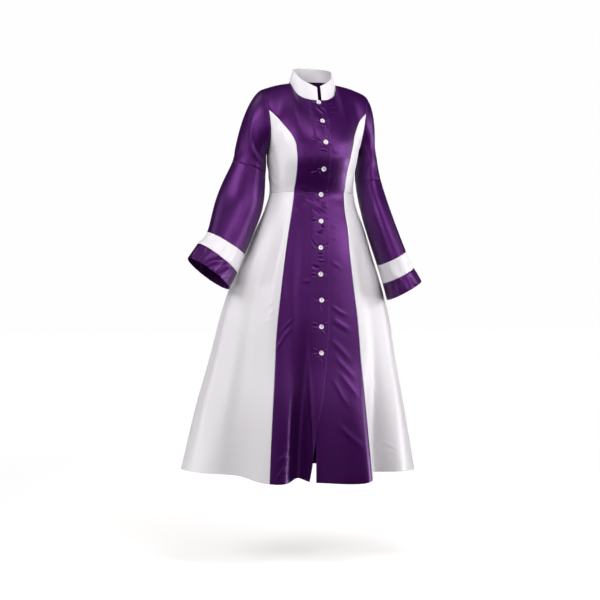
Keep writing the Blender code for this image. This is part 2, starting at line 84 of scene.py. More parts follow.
# %% [markdown]
# The camera stands where the photograph was taken from: level with the middle of the robe, a little round
# to the side of the right sleeve, with a long lens. It comes first, so that every later step can be looked
# at from there.

# %% Camera
CAMERA_TURN = math.radians(-16)
CAMERA_AWAY = 4.3
CAMERA_ASIDE = -0.0393
CAMERA_HEIGHT = -0.682
FOCAL_PIXELS = 1367.0
IMAGE_PIXELS = 600
SENSOR = 36.0

right_of_view = Vector((math.cos(CAMERA_TURN), math.sin(CAMERA_TURN), 0))
back_of_view = Vector((math.sin(CAMERA_TURN), -math.cos(CAMERA_TURN), 0))
camera_data = bpy.data.cameras.new("camera")
camera_data.sensor_width = SENSOR
camera_data.lens = FOCAL_PIXELS / IMAGE_PIXELS * SENSOR
camera = bpy.data.objects.new("camera", camera_data)
add_to_scene(camera)
camera.location = back_of_view * CAMERA_AWAY + right_of_view * CAMERA_ASIDE + Vector((0, 0, CAMERA_HEIGHT))
camera.rotation_euler = (math.radians(90), 0, CAMERA_TURN)
bpy.context.scene.camera = camera
print("camera at", [round(x, 2) for x in camera.location])

# %% [markdown]
# Satin is shaped by light more than by colour. A studio would light it with large soft boxes, because a
# small lamp makes hard white streaks. The room itself is dim, so that the folds keep their dark sides.
# Three low strips near the chest give the bust its level sheen. The floor is pale and fades into a white
# surround, as a paper roll does when it is lit from behind. It throws no light back, so the shape of the
# cloth comes from the boxes alone.

# %% Floor
FLOOR_Z = -1.50
FLOOR_SIZE = 60.0
FADE_START = 0.9
FADE_END = 3.5
FLOOR_TONE = (0.60, 0.59, 0.59)
FLOOR_GLOW = (0.50, 0.49, 0.485)
BLACK = (0, 0, 0)
WHITE = (1, 1, 1)


def new_material(name):
    """Material, its node tree and its shader."""
    made = bpy.data.materials.new(name)
    made.use_nodes = True
    return made, made.node_tree, made.node_tree.nodes["Principled BSDF"]


def colour_mix(tree, first, second, factor):
    """Colour that goes from first to second as the factor goes from 0 to 1."""
    mix = tree.nodes.new("ShaderNodeMix")
    mix.data_type = "RGBA"
    mix.inputs["A"].default_value = (*first, 1)
    mix.inputs["B"].default_value = (*second, 1)
    tree.links.new(factor, mix.inputs["Factor"])
    return mix.outputs["Result"]


deselect_all()
bpy.ops.mesh.primitive_plane_add(size=FLOOR_SIZE, location=(0, 0, FLOOR_Z))
floor = bpy.context.object
floor.name = "studio_floor"
floor_material, floor_tree, floor_shader = new_material("pale_floor")
floor_place = floor_tree.nodes.new("ShaderNodeTexCoord")
floor_away = floor_tree.nodes.new("ShaderNodeVectorMath")
floor_away.operation = "LENGTH"
floor_tree.links.new(floor_place.outputs["Object"], floor_away.inputs[0])
floor_fade = floor_tree.nodes.new("ShaderNodeMapRange")
floor_fade.interpolation_type = "SMOOTHSTEP"
floor_fade.inputs["From Min"].default_value = FADE_START
floor_fade.inputs["From Max"].default_value = FADE_END
floor_tree.links.new(floor_away.outputs["Value"], floor_fade.inputs["Value"])
for socket, near, far in (("Base Color", FLOOR_TONE, BLACK), ("Emission Color", FLOOR_GLOW, WHITE)):
    floor_tree.links.new(
        colour_mix(floor_tree, near, far, floor_fade.outputs["Result"]), floor_shader.inputs[socket])
floor_shader.inputs["Emission Strength"].default_value = 1.0
floor_shader.inputs["Roughness"].default_value = 1.0
floor_shader.inputs["Specular IOR Level"].default_value = 0.0
floor.data.materials.append(floor_material)
floor.visible_diffuse = False
floor.visible_glossy = False
print("floor at", FLOOR_Z)

# %% Room and soft boxes
ROOM_TINT = (1.0, 0.99, 0.995)
# Light of the room below and above, and the height of the direction, from -1 to 1, where each is reached.
ROOM_LOW, ROOM_LOW_AT = 0.008, -0.1
ROOM_HIGH, ROOM_HIGH_AT = 0.02, 0.9
world = bpy.data.worlds.new("studio")
bpy.context.scene.world = world
world.use_nodes = True
world_nodes = world.node_tree.nodes
world_links = world.node_tree.links
room = world_nodes["Background"]
room.inputs["Color"].default_value = (*ROOM_TINT, 1)
direction = world_nodes.new("ShaderNodeTexCoord")
height = world_nodes.new("ShaderNodeSeparateXYZ")
world_links.new(direction.outputs["Generated"], height.inputs[0])
glow = world_nodes.new("ShaderNodeMapRange")
glow.inputs["From Min"].default_value = ROOM_LOW_AT
glow.inputs["From Max"].default_value = ROOM_HIGH_AT
glow.inputs["To Min"].default_value = ROOM_LOW
glow.inputs["To Max"].default_value = ROOM_HIGH
world_links.new(height.outputs["Z"], glow.inputs["Value"])
ray = world_nodes.new("ShaderNodeLightPath")
seen = world_nodes.new("ShaderNodeMix")
world_links.new(ray.outputs["Is Camera Ray"], seen.inputs["Factor"])
world_links.new(glow.outputs["Result"], seen.inputs["A"])
seen.inputs["B"].default_value = 1.0
world_links.new(seen.outputs["Result"], room.inputs["Strength"])
bpy.context.scene.view_settings.view_transform = "Standard"

# Distance from the point that a lamp faces, height of that point, width and height of the lamp.
BOX = (3.6, -0.60, 1.2, 1.2)
TOP_BOX = (3.6, -0.60, 1.5, 1.5)
BACK_BOX = (3.6, -0.60, 1.4, 1.4)
STRIP = (1.81, -0.22, 1.0, 0.3)
# Name, degrees round from the camera with right as plus, degrees up, the four sizes, power.
SOFT_BOXES = [
    ("left_front_box", -40, 32, *BOX, 39.0),
    ("left_upper_box", -60, 32, *BOX, 17.0),
    ("left_box", -80, -8, *BOX, 44.0),
    ("left_side_box", -100, -8, *BOX, 24.0),
    ("left_top_box", -100, 52, *BOX, 10.0),
    ("low_front_box", -20, -8, *BOX, 7.0),
    ("top_box", -20, 74, *TOP_BOX, 8.0),
    ("front_top_box", 20, 52, *BOX, 34.0),
    ("right_front_box", 40, 32, *BOX, 27.0),
    ("right_low_box", 94, -10, *BOX, 80.0),
    ("right_side_box", 100, 12, *BOX, 19.0),
    ("near_right_strip", 65, 7, *STRIP, 14.0),
    ("near_left_strip", -25, 7, *STRIP, 6.0),
    ("near_middle_strip", 12, 7, *STRIP, 3.0),
    ("back_box", 176, 16, *BACK_BOX, 70.0),
]
for box_name, aside, above, far, target_z, width, height, power in SOFT_BOXES:
    turn = CAMERA_TURN + math.radians(aside)
    rise = math.radians(above)
    away = Vector((math.sin(turn) * math.cos(rise), -math.cos(turn) * math.cos(rise), math.sin(rise)))
    lamp = bpy.data.lights.new(box_name, "AREA")
    lamp.shape = "RECTANGLE"
    lamp.size = width
    lamp.size_y = height
    lamp.energy = power
    lamp_object = bpy.data.objects.new(box_name, lamp)
    lamp_object.location = Vector((0, 0, target_z)) + away * far
    lamp_object.rotation_euler = away.to_track_quat("Z", "Y").to_euler()
    lamp_object.visible_camera = False
    add_to_scene(lamp_object)
print("soft boxes", len(SOFT_BOXES))

# %% [markdown]
# The form. A sewn garment could be simulated from flat panels, but it would not hang as this one does, and
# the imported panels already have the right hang. So the sheets are worked out from the same sizes as the
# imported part: level rings of the body, a hollow yoke up to the neckline and shoulder seams, and rings down
# each sleeve. A place on the body is u, v. u runs round it: 0 centre front, 1 left side, -1 right side, 2
# centre back. v runs down it: 0 top edge, 1 chest, 2 waist, 3 hem.

# %% Sizes of the body
CHEST_Z = -0.215
WAIST_Z = -0.350
HEM_Z = -1.226

# Level sections: z, half width, front depth, back depth, centre x, boxiness.
RINGS = np.array([
    (-1.226, 0.377, 0.237, 0.235, -0.0455, 0.015),
    (-1.000, 0.330, 0.200, 0.200, -0.0360, 0.020),
    (-0.868, 0.298, 0.174, 0.180, -0.0280, 0.020),
    (-0.714, 0.265, 0.152, 0.160, -0.0200, 0.025),
    (-0.645, 0.2435, 0.144, 0.152, -0.0175, 0.030),
    (-0.531, 0.200, 0.132, 0.138, -0.0110, 0.035),
    (-0.458, 0.1715, 0.122, 0.122, -0.0065, 0.035),
    (-0.400, 0.147, 0.112, 0.102, -0.0060, 0.035),
    (-0.350, 0.134, 0.105, 0.088, -0.0040, 0.035),
    (-0.300, 0.134, 0.124, 0.092, -0.0050, 0.040),
    (-0.255, 0.139, 0.141, 0.100, -0.0040, 0.050),
    (-0.215, 0.144, 0.142, 0.104, -0.0020, 0.050),
])
# Folds of the skirt: u of the middle, half width in u, depth at the hem with out as plus, z of the start.
FOLDS = [
    (-0.105, 0.080, -0.050, -0.72),
    (-0.43, 0.16, -0.028, -0.52),
    (0.25, 0.11, 0.026, -0.85),
    (0.41, 0.13, -0.060, -0.80),
    (1.30, 0.16, -0.030, -0.65),
    (-1.34, 0.15, -0.028, -0.70),
    (1.72, 0.14, -0.034, -0.60),
    (-1.70, 0.16, -0.034, -0.62),
]
FOLD_SHARPNESS = 2.2
# How far the hem is above its lowest level: u, rise.
HEM_RISE = np.array([
    (-2.0, 0.004), (-1.1, 0.024), (-0.75, 0.026), (-0.45, 0.020), (-0.30, 0.002), (-0.16, 0.0),
    (-0.10, 0.010), (-0.05, 0.002), (0.0, 0.0), (0.27, 0.0), (0.33, 0.012), (0.42, 0.014), (1.0, 0.006),
    (2.0, 0.004),
])
NECK_HALF = 0.073
NECK_DEEP = 0.0624
NECK_SHARE = 0.45
# Neckline: angle from the front, height.
NECK_Z = np.array([(0, -0.064), (27, -0.059), (54, -0.043), (90, -0.003), (135, 0.010), (180, 0.013)])
TIP_X = 0.165
TIP_Y = 0.004
TIP_Z = -0.027
SHOULDER_CROWN = 0.003
SHOULDER_BLEND = 0.1
NECK_MARGIN = 0.01
CHEST_STEP = 0.01
# Direction and length of the cloth where it reaches the top edge: share from centre to tip, y, z.
TOP_FRONT = np.array([
    (0.00, 0.085, 0.150), (0.22, 0.110, 0.120), (0.45, 0.150, 0.055), (0.70, 0.170, 0.025),
    (1.00, 0.270, 0.050),
])
TOP_BACK = np.array([
    (0.00, -0.060, 0.200), (0.22, -0.080, 0.170), (0.45, -0.130, 0.055), (0.70, -0.170, 0.025),
    (1.00, -0.270, 0.050),
])
ARM_FORWARD = 0.27
ARM_UP = 0.05
ARM_BLEND = 0.5


# %% Smooth curves
def smooth_at(x, xs, ys):
    """Value at x of the smooth curve through the points xs, ys."""
    slope = np.gradient(ys, xs)
    i = np.clip(np.searchsorted(xs, x) - 1, 0, len(xs) - 2)
    h = xs[i + 1] - xs[i]
    t = np.clip((x - xs[i]) / h, 0, 1)
    start = (2 * t**3 - 3 * t**2 + 1) * ys[i] + (t**3 - 2 * t**2 + t) * h * slope[i]
    end = (3 * t**2 - 2 * t**3) * ys[i + 1] + (t**3 - t**2) * h * slope[i + 1]
    return start + end


def ease(x):
    x = np.clip(x, 0, 1)
    return x * x * (3 - 2 * x)


def hermite(p0, t0, p1, t1, t):
    t = t[..., None]
    start = (2 * t**3 - 3 * t**2 + 1) * p0 + (t**3 - 2 * t**2 + t) * t0
    end = (3 * t**2 - 2 * t**3) * p1 + (t**3 - t**2) * t1
    return start + end


def unit(vectors):
    return vectors / np.linalg.norm(vectors, axis=-1, keepdims=True)


# %% Points of the body
def section_point(u, z):
    """Point of the level section at height z, with the folds of the skirt."""
    angle = u * math.pi / 2
    half, front, back, centre_x, boxy = (smooth_at(z, RINGS[:, 0], RINGS[:, k]) for k in range(1, 6))
    depth = np.where(np.abs(u) <= 1, front, back)
    grow = 1 + boxy * np.sin(2 * angle) ** 2
    out = np.zeros(np.shape(u))
    for middle, half_wide, deep, start in FOLDS:
        strength = ease((start - z) / (start - HEM_Z))
        out = out + deep * strength * np.exp(-FOLD_SHARPNESS * ((u - middle) / half_wide) ** 2)
    normal_x = np.sin(angle) / half
    normal_y = -np.cos(angle) / depth
    length = np.hypot(normal_x, normal_y)
    x = centre_x + half * grow * np.sin(angle) + out * normal_x / length
    y = -depth * grow * np.cos(angle) + out * normal_y / length
    return np.stack([x, y, z], -1)


def top_edge(share, side, face):
    """Point of the neckline and shoulder seam. face is -1 at the front and 1 at the back."""
    angle = np.clip(share / NECK_SHARE, 0, 1) * 90
    neck_z = smooth_at(np.where(face < 0, angle, 180 - angle), NECK_Z[:, 0], NECK_Z[:, 1])
    neck_x = side * NECK_HALF * np.sin(np.radians(angle))
    neck_y = face * NECK_DEEP * np.cos(np.radians(angle))
    k = np.clip((share - NECK_SHARE) / (1 - NECK_SHARE), 0, 1)
    on_neck = share <= NECK_SHARE
    x = np.where(on_neck, neck_x, neck_x + (side * TIP_X - neck_x) * k)
    y = np.where(on_neck, neck_y, TIP_Y * k)
    z = np.where(on_neck, neck_z, neck_z + (TIP_Z - neck_z) * k + SHOULDER_CROWN * np.sin(math.pi * k))
    return np.stack([x, y, z], -1)


def yoke_point(u, rise):
    """Point above the chest section. rise is 0 at the chest and 1 at the top edge."""
    side = np.where(u < 0, -1.0, 1.0)
    face = np.where(np.abs(u) <= 1, -1.0, 1.0)
    share = np.where(face < 0, np.abs(u), 2 - np.abs(u))
    chest = section_point(u, CHEST_Z + 0 * u)
    below = section_point(u, CHEST_Z - CHEST_STEP + 0 * u)
    top = top_edge(share, side, face)
    leave = (chest - below) / CHEST_STEP * (top[..., 2:] - CHEST_Z)
    arm = ease((share - ARM_BLEND) / (1 - ARM_BLEND))[..., None]
    leave = leave * (1 - arm) + np.stack([0 * share, face * ARM_FORWARD, ARM_UP + 0 * share], -1) * arm
    front_y, front_z = (smooth_at(share, TOP_FRONT[:, 0], TOP_FRONT[:, k]) for k in (1, 2))
    back_y, back_z = (smooth_at(share, TOP_BACK[:, 0], TOP_BACK[:, k]) for k in (1, 2))
    arrive_y = np.where(face < 0, front_y, back_y)
    arrive_z = np.where(face < 0, front_z, back_z)
    arrive = np.stack([0 * share, arrive_y, arrive_z], -1)
    return hermite(chest, leave, top, arrive, rise)


def body_point(u, v):
    """Point of the outer face of the body. Past 2, at the centre back, u goes on from -2."""
    u, v = np.broadcast_arrays(np.asarray(u, float), np.asarray(v, float))
    u = np.where(u > 2, u - 4, u)
    hem = HEM_Z + smooth_at(u, HEM_RISE[:, 0], HEM_RISE[:, 1])
    bodice_z = CHEST_Z + (WAIST_Z - CHEST_Z) * np.clip(v - 1, 0, 1)
    z = np.where(v <= 2, bodice_z, WAIST_Z + (hem - WAIST_Z) * (v - 2))
    return np.where((v < 1)[..., None], yoke_point(u, np.clip(1 - v, 0, 1)), section_point(u, z))


# %% [markdown]
# Cloth is lifted off the form along its normal. The normal comes from two small steps on the surface, one
# round the body and one down it. Above the chest the armhole cuts the body open, so a step never crosses
# it.

# %% Normals of the body
STEP = 0.002
TINY = 1e-9


def step_round(u, v):
    """Two places a small step apart round the body, on the same side of the armhole."""
    low, high = u - STEP, u + STEP
    front = np.abs(u) <= 1
    left = u > 0
    low_open = np.where(front, np.maximum(low, -1), np.where(left, np.maximum(low, 1 + TINY), low))
    high_open = np.where(front, np.minimum(high, 1), np.where(left, high, np.minimum(high, -1 - TINY)))
    return np.where(v < 1, low_open, low), np.where(v < 1, high_open, high)


def face_normal(u, v):
    low, high = step_round(u, v)
    along = body_point(high, v) - body_point(low, v)
    down = body_point(u, np.clip(v + STEP, 0, 3)) - body_point(u, np.clip(v - STEP, 0, 3))
    return unit(np.cross(down, along))


def body_normal(u, v):
    """Normal of the outer face. Front and back share one at the shoulder seam."""
    u, v = np.broadcast_arrays(np.asarray(u, float), np.asarray(v, float))
    past_back = np.abs(u) > 2
    away = np.where(past_back, 4 - np.abs(u), np.abs(u))
    side = np.where(past_back, -np.sign(u), np.sign(u))
    share = np.where(away <= 1, away, 2 - away)
    blend = ease(1 - v / SHOULDER_BLEND) * (share > NECK_SHARE - NECK_MARGIN)
    other = face_normal(side * (2 - away), v)
    return unit(face_normal(u, v) * (1 - 0.5 * blend)[..., None] + other * (0.5 * blend)[..., None])


def metres_per_u(u, v):
    low, high = step_round(u, v)
    return np.linalg.norm(body_point(high, v) - body_point(low, v), axis=-1) / (high - low)


# %% [markdown]
# Seams. A princess seam curves from the armhole over the bust to the hem, and shapes the robe with no
# darts. Each seam here is a short table, and a panel stops a hair before it, so that two sewn panels meet
# without touching.

# %% Seams and edges of the body
SEAM_HALF = 0.00012
TIP_V = 0.41
# Princess seams of the front: v, u of the right seam, u of the left seam, both as distance from the centre.
FRONT_SEAM = np.array([
    (0.41, 1.000, 1.000), (0.59, 0.725, 0.745), (0.73, 0.550, 0.590), (0.83, 0.450, 0.500),
    (0.93, 0.395, 0.462), (1.08, 0.379, 0.445), (1.43, 0.374, 0.415), (1.75, 0.385, 0.410),
    (2.00, 0.398, 0.392), (2.11, 0.378, 0.335), (2.20, 0.352, 0.308), (2.30, 0.325, 0.297),
    (2.54, 0.302, 0.299), (2.70, 0.281, 0.300), (3.00, 0.262, 0.278),
])
BACK_SEAM = np.array([
    (0.41, 1.000), (0.59, 0.735), (0.73, 0.570), (0.83, 0.480), (0.93, 0.430), (1.08, 0.410),
    (1.43, 0.395), (2.00, 0.385), (2.20, 0.330), (2.54, 0.300), (3.00, 0.272),
])
# Edges of the opening: v, u of the lap edge of the right front, u of the hidden edge of the left front.
OPENING = np.array([
    (0.00, 0.090, -0.090), (0.40, 0.086, -0.088), (1.07, 0.085, -0.085), (1.84, 0.106, -0.098),
    (2.17, 0.0875, -0.080), (2.38, 0.071, -0.068), (2.56, 0.051, -0.058), (2.72, 0.016, -0.040),
    (2.82, -0.011, -0.025), (2.88, -0.026, -0.0215), (2.94, -0.037, -0.0205), (3.00, -0.050, -0.0205),
])


def front_seam(v, side, trim):
    """u of a princess seam of the front, moved by trim metres away from the centre."""
    u = side * smooth_at(v, FRONT_SEAM[:, 0], FRONT_SEAM[:, 1 if side < 0 else 2])
    u = np.where(v <= TIP_V, side * 1.0, u)
    return u + side * trim / metres_per_u(u, v)


def back_seam(v, side, trim):
    """u of a princess seam of the back, moved by trim metres away from the centre."""
    share = np.where(v <= TIP_V, 1.0, smooth_at(v, BACK_SEAM[:, 0], BACK_SEAM[:, 1]))
    u = side * (2 - share)
    return u - side * trim / metres_per_u(u, v)


def side_seam(v, side, trim):
    """u of the side seam, moved by trim metres towards the back."""
    u = side + 0 * v
    return u + side * trim / metres_per_u(u, v)


def opening_edge(v, column):
    return smooth_at(v, OPENING[:, 0], OPENING[:, column])


# %% Sizes of the sleeves
# Sections from the upper arm to the cuff: x, y, z of the middle, half across, half deep, slope up and out,
# turn of the flat side, rise of the front edge. Angles in degrees. The elbow seam is row 1, the band rows 3
# to 4, the cuff 4 to 5.
SLEEVE_R = np.array([
    (-0.1990, 0.0060, -0.2240, 0.0500, 0.0500, 13.0, 2.0, 0.0),
    (-0.2035, 0.0080, -0.2695, 0.0550, 0.0500, 18.1, 8.0, 0.0),
    (-0.2340, 0.0000, -0.3800, 0.0725, 0.0520, 20.0, 16.0, 3.0),
    (-0.2900, -0.0450, -0.5100, 0.0670, 0.0620, 30.9, 16.0, 8.0),
    (-0.3200, -0.0620, -0.5560, 0.0750, 0.0660, 36.5, 16.0, 11.0),
    (-0.3510, -0.0790, -0.6020, 0.0780, 0.0700, 36.0, 16.0, 13.0),
])
SLEEVE_L = np.array([
    (0.1765, 0.0030, -0.2240, 0.0290, 0.0610, 10.0, 0.0, 0.0),
    (0.1785, -0.0150, -0.3050, 0.0380, 0.0590, 10.0, 0.0, 0.0),
    (0.1895, -0.0620, -0.4100, 0.0440, 0.0640, 20.0, 0.0, 0.0),
    (0.2290, -0.0940, -0.5510, 0.0480, 0.0740, 28.1, 4.0, 0.0),
    (0.2480, -0.1030, -0.6050, 0.0530, 0.0800, 28.5, 6.0, 0.0),
    (0.2650, -0.1110, -0.6525, 0.0600, 0.0850, 29.8, 8.0, 0.0),
])
ARMHOLE, ELBOW, BAND_TOP, BAND_END, CUFF_END = -1.0, 1.0, 3.0, 4.0, 5.0
AXIS_STEP = 0.02
SLEEVE_STEP = 0.004
# Direction of the sleeve where it leaves the armhole: share round it, out, up.
CAP_LEAVE = np.array([
    (0.0, 0.45, -0.80), (0.25, 0.75, -0.60), (0.5, 0.62, -0.36), (0.75, 0.75, -0.60), (1.0, 0.45, -0.80),
])


# %% Points of the sleeves
def armhole(share, side):
    """Point of the armhole: share 0 underarm, 0.25 front, 0.5 tip of the shoulder, 0.75 back."""
    rise = 1 - np.abs(1 - 2 * share)
    return yoke_point(np.where(share <= 0.5, side * 1.0, side * (1.0 + TINY)), rise)


def sleeve_ring(share, along, table):
    """Point of a sleeve section at a place along the table."""
    side = np.sign(table[0, 0])
    places = np.arange(len(table), dtype=float)
    x, y, z, across, deep, slope, turn, dip = (smooth_at(along, places, table[:, k]) for k in range(8))
    slope, turn, dip = np.radians(slope), np.radians(turn), np.radians(dip)
    level = np.stack([side * np.cos(turn), -side * np.sin(turn), 0 * turn], -1)
    ahead = np.stack([-np.sin(turn), -np.cos(turn), 0 * turn], -1)
    up = np.array([0.0, 0.0, 1.0])
    out = level * np.cos(slope)[..., None] + up * np.sin(slope)[..., None]
    rise = up * np.cos(slope)[..., None] - level * np.sin(slope)[..., None]
    front = ahead * np.cos(dip)[..., None] + rise * np.sin(dip)[..., None]
    angle = 2 * math.pi * share
    centre = np.stack([x, y, z], -1)
    return centre - out * (across * np.cos(angle))[..., None] + front * (deep * np.sin(angle))[..., None]


def cap_point(share, t, table):
    """Point between the armhole, t = 0, and the first section, t = 1."""
    side = np.sign(table[0, 0])
    start = armhole(share, side)
    end = sleeve_ring(share, 0 * share, table)
    length = np.linalg.norm(end - start, axis=-1)[..., None]
    leave_out = side * smooth_at(share, CAP_LEAVE[:, 0], CAP_LEAVE[:, 1])
    leave_up = smooth_at(share, CAP_LEAVE[:, 0], CAP_LEAVE[:, 2])
    leave = np.stack([leave_out, 0 * share, leave_up], -1)
    axis = unit(sleeve_ring(share, AXIS_STEP + 0 * share, table) - end)
    return hermite(start, leave * length, end, axis * length, t)


def sleeve_point(share, w, table):
    """Outer face of a sleeve. w is -1 at the armhole, 0 at the first section, then the place in the table."""
    share, w = np.broadcast_arrays(np.asarray(share, float), np.asarray(w, float))
    cap = cap_point(share, np.clip(w + 1, 0, 1), table)
    return np.where((w < 0)[..., None], cap, sleeve_ring(share, np.clip(w, 0, None), table))


def sleeve_normal(share, w, table):
    low = np.clip(w - SLEEVE_STEP, ARMHOLE, CUFF_END)
    high = np.clip(w + SLEEVE_STEP, ARMHOLE, CUFF_END)
    ahead = sleeve_point((share + SLEEVE_STEP) % 1, w, table)
    behind = sleeve_point((share - SLEEVE_STEP) % 1, w, table)
    down = sleeve_point(share, high, table) - sleeve_point(share, low, table)
    return unit(np.cross(down, ahead - behind) * np.sign(table[0, 0]))


# %% [markdown]
# Creases. Worn satin has soft ridges where it is pulled and troughs where it is slack, and no two are
# alike. A cloth simulation gives some, but never where these ones are. So each is laid as a short curve
# on the form, with its own width and height, and it fades out at both ends.

# %% Heights of creases
CREASE_PARTS = 12
SHOULDER_SPREAD = 2.2
SHOULDER_DROP = 0.35
FADE_SHARE = 0.35
MM = 0.001
FAR = 9.0


def bend(s, first, middle, last):
    """Value on a curve from first to last, drawn towards middle, as s goes from 0 to 1."""
    return (1 - s) ** 2 * first + 2 * s * (1 - s) * middle + s**2 * last


def crease_height(points, table, place):
    """Height that creases add at points. A row has three places on the form, half width and height in mm."""
    height = np.zeros(points.shape[:-1])
    s = np.linspace(0, 1, CREASE_PARTS + 1)
    for a0, b0, a1, b1, a2, b2, half, rise in table:
        line = place(bend(s, a0, a1, a2), bend(s, b0, b1, b2))
        nearest = np.full(height.shape, FAR)
        along = np.zeros(height.shape)
        for i in range(CREASE_PARTS):
            reach = line[i + 1] - line[i]
            t = np.clip((points - line[i]) @ reach / max(reach @ reach, TINY), 0, 1)
            gap = np.linalg.norm(points - line[i] - t[..., None] * reach, axis=-1)
            closer = gap < nearest
            along = np.where(closer, (i + t) / CREASE_PARTS, along)
            nearest = np.where(closer, gap, nearest)
        x = nearest / (half * MM)
        profile = np.exp(-(x**2)) - SHOULDER_DROP * np.exp(-((x / SHOULDER_SPREAD) ** 2))
        fade = ease(along / FADE_SHARE) * ease((1 - along) / FADE_SHARE)
        height = height + rise * MM / (1 - SHOULDER_DROP) * profile * fade
    return height


# %% [markdown]
# Sheets. A panel starts as a flat grid, like cloth on the cutting table. Its vertices are then moved onto
# the form, and its UV map keeps the distances along the cloth in metres, so that the weave follows the
# panel. The grid is closer at the edges, where the cloth turns in to a seam or round a fold. Solidify gives
# it a thickness, inwards.

# %% Sheet maker
CLOTH = 0.0012
COLUMN_STEP = 0.0050
ROW_STEP = 0.0052
FINE_STEP = 0.0022
EDGE_STEPS = np.array([0.0, 0.0005, 0.0011, 0.0020, 0.0034])
EDGE_SHARES = np.array([0.0, 0.03, 0.07, 0.13, 0.20])
ROLL_WIDTH = 0.0030
ROLL_DEPTH = 0.0009
MERGE_WITHIN = 1e-5
made_sheets = {}


def spread(length, shares):
    """Distances from 0 to length, close together at both ends. length may be an array, one for each row."""
    length = np.asarray(length, float)[..., None]
    near = np.minimum(EDGE_STEPS, EDGE_SHARES * length)
    start = near[..., -1:]
    middle = start + (length - 2 * start) * shares[1:-1]
    return np.concatenate([near, middle, (length - near)[..., ::-1]], -1)


def cloth_metres(points):
    """Distances along the cloth from its first column and from its first row."""
    across = np.linalg.norm(np.diff(points, axis=1), axis=-1)
    down = np.linalg.norm(np.diff(points, axis=0), axis=-1)
    across = np.concatenate([np.zeros((len(points), 1)), np.cumsum(across, 1)], 1)
    down = np.concatenate([np.zeros((1, points.shape[1])), np.cumsum(down, 0)], 0)
    return across, down


def seam_roll(points, sewn):
    """How deep the cloth turns in near its edges. sewn names the edges: left, right, top, bottom."""
    across, down = cloth_metres(points)
    gaps = {"left": across, "right": across[:, -1:] - across, "top": down, "bottom": down[-1:] - down}
    depth = np.zeros(across.shape)
    for edge in sewn:
        depth = np.maximum(depth, ROLL_DEPTH * np.clip(1 - gaps[edge] / ROLL_WIDTH, 0, 1) ** 2)
    return depth


def make_sheet(name, points, thickness=CLOTH, tube=False):
    """Sheet of cloth from a grid: points has a row for each row of the sheet, from the top."""
    rows, columns = points.shape[:2]
    deselect_all()
    bpy.ops.mesh.primitive_grid_add(x_subdivisions=columns - 1, y_subdivisions=rows - 1, size=1)
    sheet = bpy.context.object
    sheet.name = name
    mesh = sheet.data
    flat = np.empty(len(mesh.vertices) * 3)
    mesh.vertices.foreach_get("co", flat)
    flat = flat.reshape(-1, 3)
    column = np.rint((flat[:, 0] + 0.5) * (columns - 1)).astype(int)
    row = np.rint((0.5 - flat[:, 1]) * (rows - 1)).astype(int)
    across, down = cloth_metres(points)
    corner = np.empty(len(mesh.loops), dtype=int)
    mesh.loops.foreach_get("vertex_index", corner)
    cloth_map = np.stack([across[row, column][corner], -down[row, column][corner]], -1)
    mesh.uv_layers[0].name = "cloth"
    mesh.uv_layers[0].data.foreach_set("uv", cloth_map.ravel())
    mesh.vertices.foreach_set("co", points[row, column].ravel())
    make_active(sheet)
    if tube:
        bpy.ops.object.mode_set(mode="EDIT")
        bpy.ops.mesh.select_all(action="SELECT")
        bpy.ops.mesh.remove_doubles(threshold=MERGE_WITHIN)
        bpy.ops.object.mode_set(mode="OBJECT")
    wall = sheet.modifiers.new("wall", "SOLIDIFY")
    wall.thickness = thickness
    wall.offset = -1
    bpy.ops.object.modifier_apply(modifier="wall")
    bpy.ops.object.shade_smooth()
    cut_width = float(across[:, -1].max())
    cut_length = float(down[-1].max())
    cut_area = float(sum(face.area for face in sheet.data.polygons) / 2)
    made_sheets[name] = (sheet, cut_width, cut_length, cut_area)
    faces = len(sheet.data.polygons)
    print(f"{name}: {faces} faces, {cut_width:.3f} x {cut_length:.3f} m, {cut_area:.4f} m2")
    return sheet


# %% Rows down the body
# Where each level is along the cloth: v, metres from the top edge.
ALONG_BODY = np.array([(0.0, 0.0), (1.0, 0.225), (2.0, 0.36), (3.0, 1.25)])
GUIDE_ROWS = 400
GUIDE_COLUMNS = 30
LEAST_COLUMNS = 12


def body_rows(first, last, fine):
    """Values of v from first to last, closer together over the part that fine names."""
    start, end, fine_start, fine_end = np.interp([first, last, *fine], ALONG_BODY[:, 0], ALONG_BODY[:, 1])
    guide = np.linspace(start, end, GUIDE_ROWS)
    density = np.where((guide > fine_start) & (guide < fine_end), 1 / FINE_STEP, 1 / ROW_STEP)
    count = np.concatenate([[0.0], np.cumsum((density[1:] + density[:-1]) / 2 * np.diff(guide))])
    shares = (np.interp(np.linspace(0, count[-1], int(count[-1])), count, guide) - start) / (end - start)
    return np.interp(start + spread(end - start, shares), ALONG_BODY[:, 1], ALONG_BODY[:, 0])


def body_sheet(name, low_edge, high_edge, first, last, sewn, creases, lift=None, fine=(0, 0), columns=0):
    """Panel of the body between two edges, which give u for each v."""
    v = body_rows(first, last, fine)
    low, high = low_edge(v), high_edge(v)
    guide = low[:, None] + (high - low)[:, None] * np.linspace(0, 1, GUIDE_COLUMNS)
    width = cloth_metres(body_point(guide, v[:, None]))[0][:, -1]
    columns = columns or max(LEAST_COLUMNS, int(width.max() / COLUMN_STEP))
    shares = spread(width, np.linspace(0, 1, columns)) / width[:, None]
    u = low[:, None] + (high - low)[:, None] * shares
    v = np.repeat(v[:, None], u.shape[1], 1)
    form = body_point(u, v)
    height = crease_height(form, creases, body_point)
    if lift is not None:
        height = height + lift(u, v, form)
    height = height - seam_roll(form, sewn)
    return make_sheet(name, form + body_normal(u, v) * height[..., None])


# %% [markdown]
# The fronts. The right front laps over the left one, so it stands off by the thickness of the cloth
# wherever the left front is under it. Its buttons pull it in, and the cloth puckers like a star round each
# of them.

